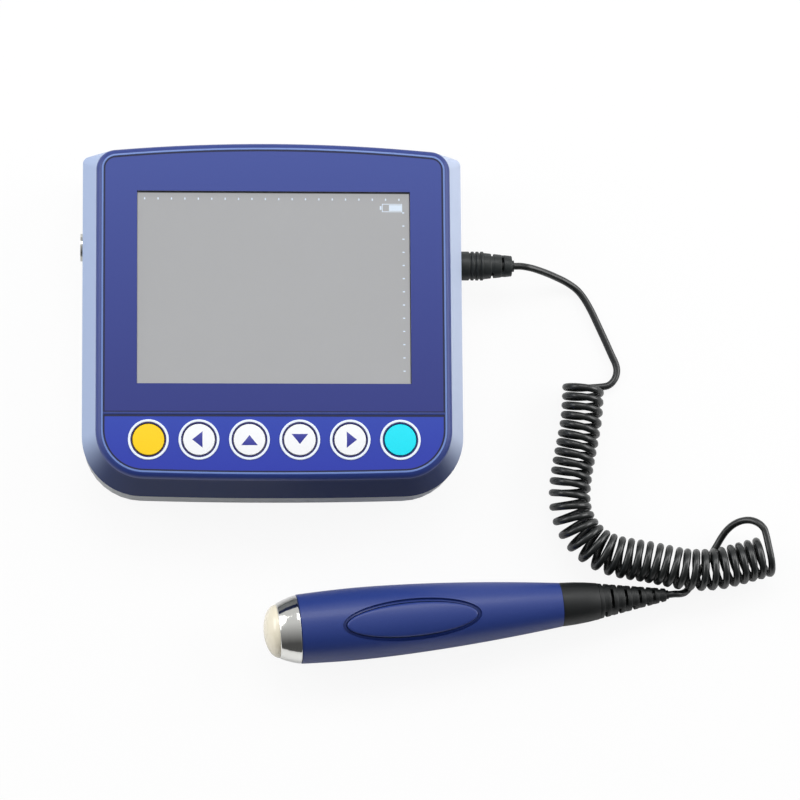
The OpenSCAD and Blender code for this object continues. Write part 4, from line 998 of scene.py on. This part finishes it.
dome = dome_arc(dome_h, dome_r, range(0, 91, 5))
dome += [(-head_len, 10 * MM), (3 * MM - head_len, 10 * MM), (3 * MM - head_len, 8.9 * MM)]
dome += dome_arc(hollow_h, hollow_r, range(90, -1, -10))
fit(turned("cream_dome", dome, handle_place, 96), dome_cream, "probe", "dome_cream", "probe_dome")
dress(nodes["dome_seal"], pad_rubber)


# Inside the probe: the swinging transducer on its yoke, its magnet and coil, the bulkhead that
# closes the oil chamber, the switch board, the cable clamp and the cable.
bulkhead_grey = finish("bulkhead_grey", linear(150, 150, 155), 0.5, grain=1500)
crystal = finish("crystal_tan", linear(216, 200, 168), 0.4, grain=2000)
copper = finish("coil_copper", linear(210, 120, 70), 0.3, metal=1, grain=2500, shade=0.2)
for name, material in (("bulkhead", bulkhead_grey), ("scan_yoke", screw_steel), ("pivot_pin", screw_steel),
                       ("transducer_carrier", socket_black), ("transducer_disc", crystal),
                       ("drive_magnet", nickel), ("drive_coil", copper), ("probe_wire", cord_black),
                       ("cable_clamp", socket_black), ("freeze_board", board_green)):
    dress(nodes[name], material)


# Table and light: a pale even table top under soft boxes on both sides and overhead, in a room
# that is darker towards the near side. The camera sees both as nearly white.
def lit_white(name, colour, see_share):
    """A pale matt surface that the camera sees as nearly white, with the shadow kept."""
    material = bpy.data.materials.new(name)
    material.use_nodes = True
    tree = material.node_tree
    tree.nodes.clear()
    out = tree.nodes.new("ShaderNodeOutputMaterial")
    matt = tree.nodes.new("ShaderNodeBsdfDiffuse")
    matt.inputs["Color"].default_value = colour
    glowing = tree.nodes.new("ShaderNodeEmission")
    glowing.inputs["Color"].default_value = (1, 1, 1, 1)
    glowing.inputs["Strength"].default_value = 1
    rays = tree.nodes.new("ShaderNodeLightPath")
    seen = tree.nodes.new("ShaderNodeMath")
    seen.operation = "MAXIMUM"
    share = tree.nodes.new("ShaderNodeMath")
    share.operation = "MULTIPLY"
    share.inputs[1].default_value = see_share
    both = tree.nodes.new("ShaderNodeMixShader")
    link = tree.links.new
    link(rays.outputs["Is Camera Ray"], seen.inputs[0])
    link(rays.outputs["Is Transmission Ray"], seen.inputs[1])
    link(seen.outputs[0], share.inputs[0])
    link(share.outputs[0], both.inputs["Fac"])
    link(matt.outputs[0], both.inputs[1])
    link(glowing.outputs[0], both.inputs[2])
    link(both.outputs[0], out.inputs["Surface"])
    return material


floor_half = 3
floor_z = -0.0002
floor = make_object("table", [(-floor_half, -floor_half, floor_z), (floor_half, -floor_half, floor_z),
                              (floor_half, floor_half, floor_z), (-floor_half, floor_half, floor_z)],
                    [(0, 1, 2, 3)])
floor.data.materials.append(lit_white("table_white", (0.86, 0.86, 0.86, 1), 0.9))


def soft_box(name, at, aim, width, height, power):
    """A rectangular lamp that points at a place."""
    light = bpy.data.lights.new(name, "AREA")
    light.shape = "RECTANGLE"
    light.size = width
    light.size_y = height
    light.energy = power
    lamp = bpy.data.objects.new(name, light)
    lamp.location = at
    lamp.rotation_euler = (Vector(aim) - Vector(at)).to_track_quat("-Z", "Y").to_euler()
    bpy.context.scene.collection.objects.link(lamp)


soft_box("left_box", (-0.9, 0.25, 0.55), (0, 0, 0.02), 0.9, 0.6, 6)
soft_box("right_box", (1.0, 0.25, 0.5), (0.05, 0, 0.02), 0.9, 0.6, 7)
soft_box("top_box", (0.05, 0.9, 1.3), (0.05, 0, 0), 1.2, 0.6, 9)
world = bpy.data.worlds.new("studio")
bpy.context.scene.world = world
world.use_nodes = True
sky = world.node_tree
room = sky.nodes["Background"]
room.inputs["Strength"].default_value = 0.62
white = sky.nodes.new("ShaderNodeBackground")
white.inputs["Color"].default_value = (1, 1, 1, 1)
way = sky.nodes.new("ShaderNodeTexCoord")
parts = sky.nodes.new("ShaderNodeSeparateXYZ")
dim = sky.nodes.new("ShaderNodeMapRange")
dim.inputs["From Min"].default_value = -0.8
dim.inputs["From Max"].default_value = 0.3
dim.inputs["To Min"].default_value = 0.12
seen_by = sky.nodes.new("ShaderNodeLightPath")
choice = sky.nodes.new("ShaderNodeMixShader")
sky.links.new(way.outputs["Generated"], parts.inputs["Vector"])
sky.links.new(parts.outputs["Y"], dim.inputs["Value"])
sky.links.new(dim.outputs["Result"], room.inputs["Color"])
sky.links.new(seen_by.outputs["Is Camera Ray"], choice.inputs["Fac"])
sky.links.new(room.outputs[0], choice.inputs[1])
sky.links.new(white.outputs[0], choice.inputs[2])
sky.links.new(choice.outputs[0], sky.nodes["World Output"].inputs["Surface"])
bpy.context.scene.view_settings.view_transform = "Standard"
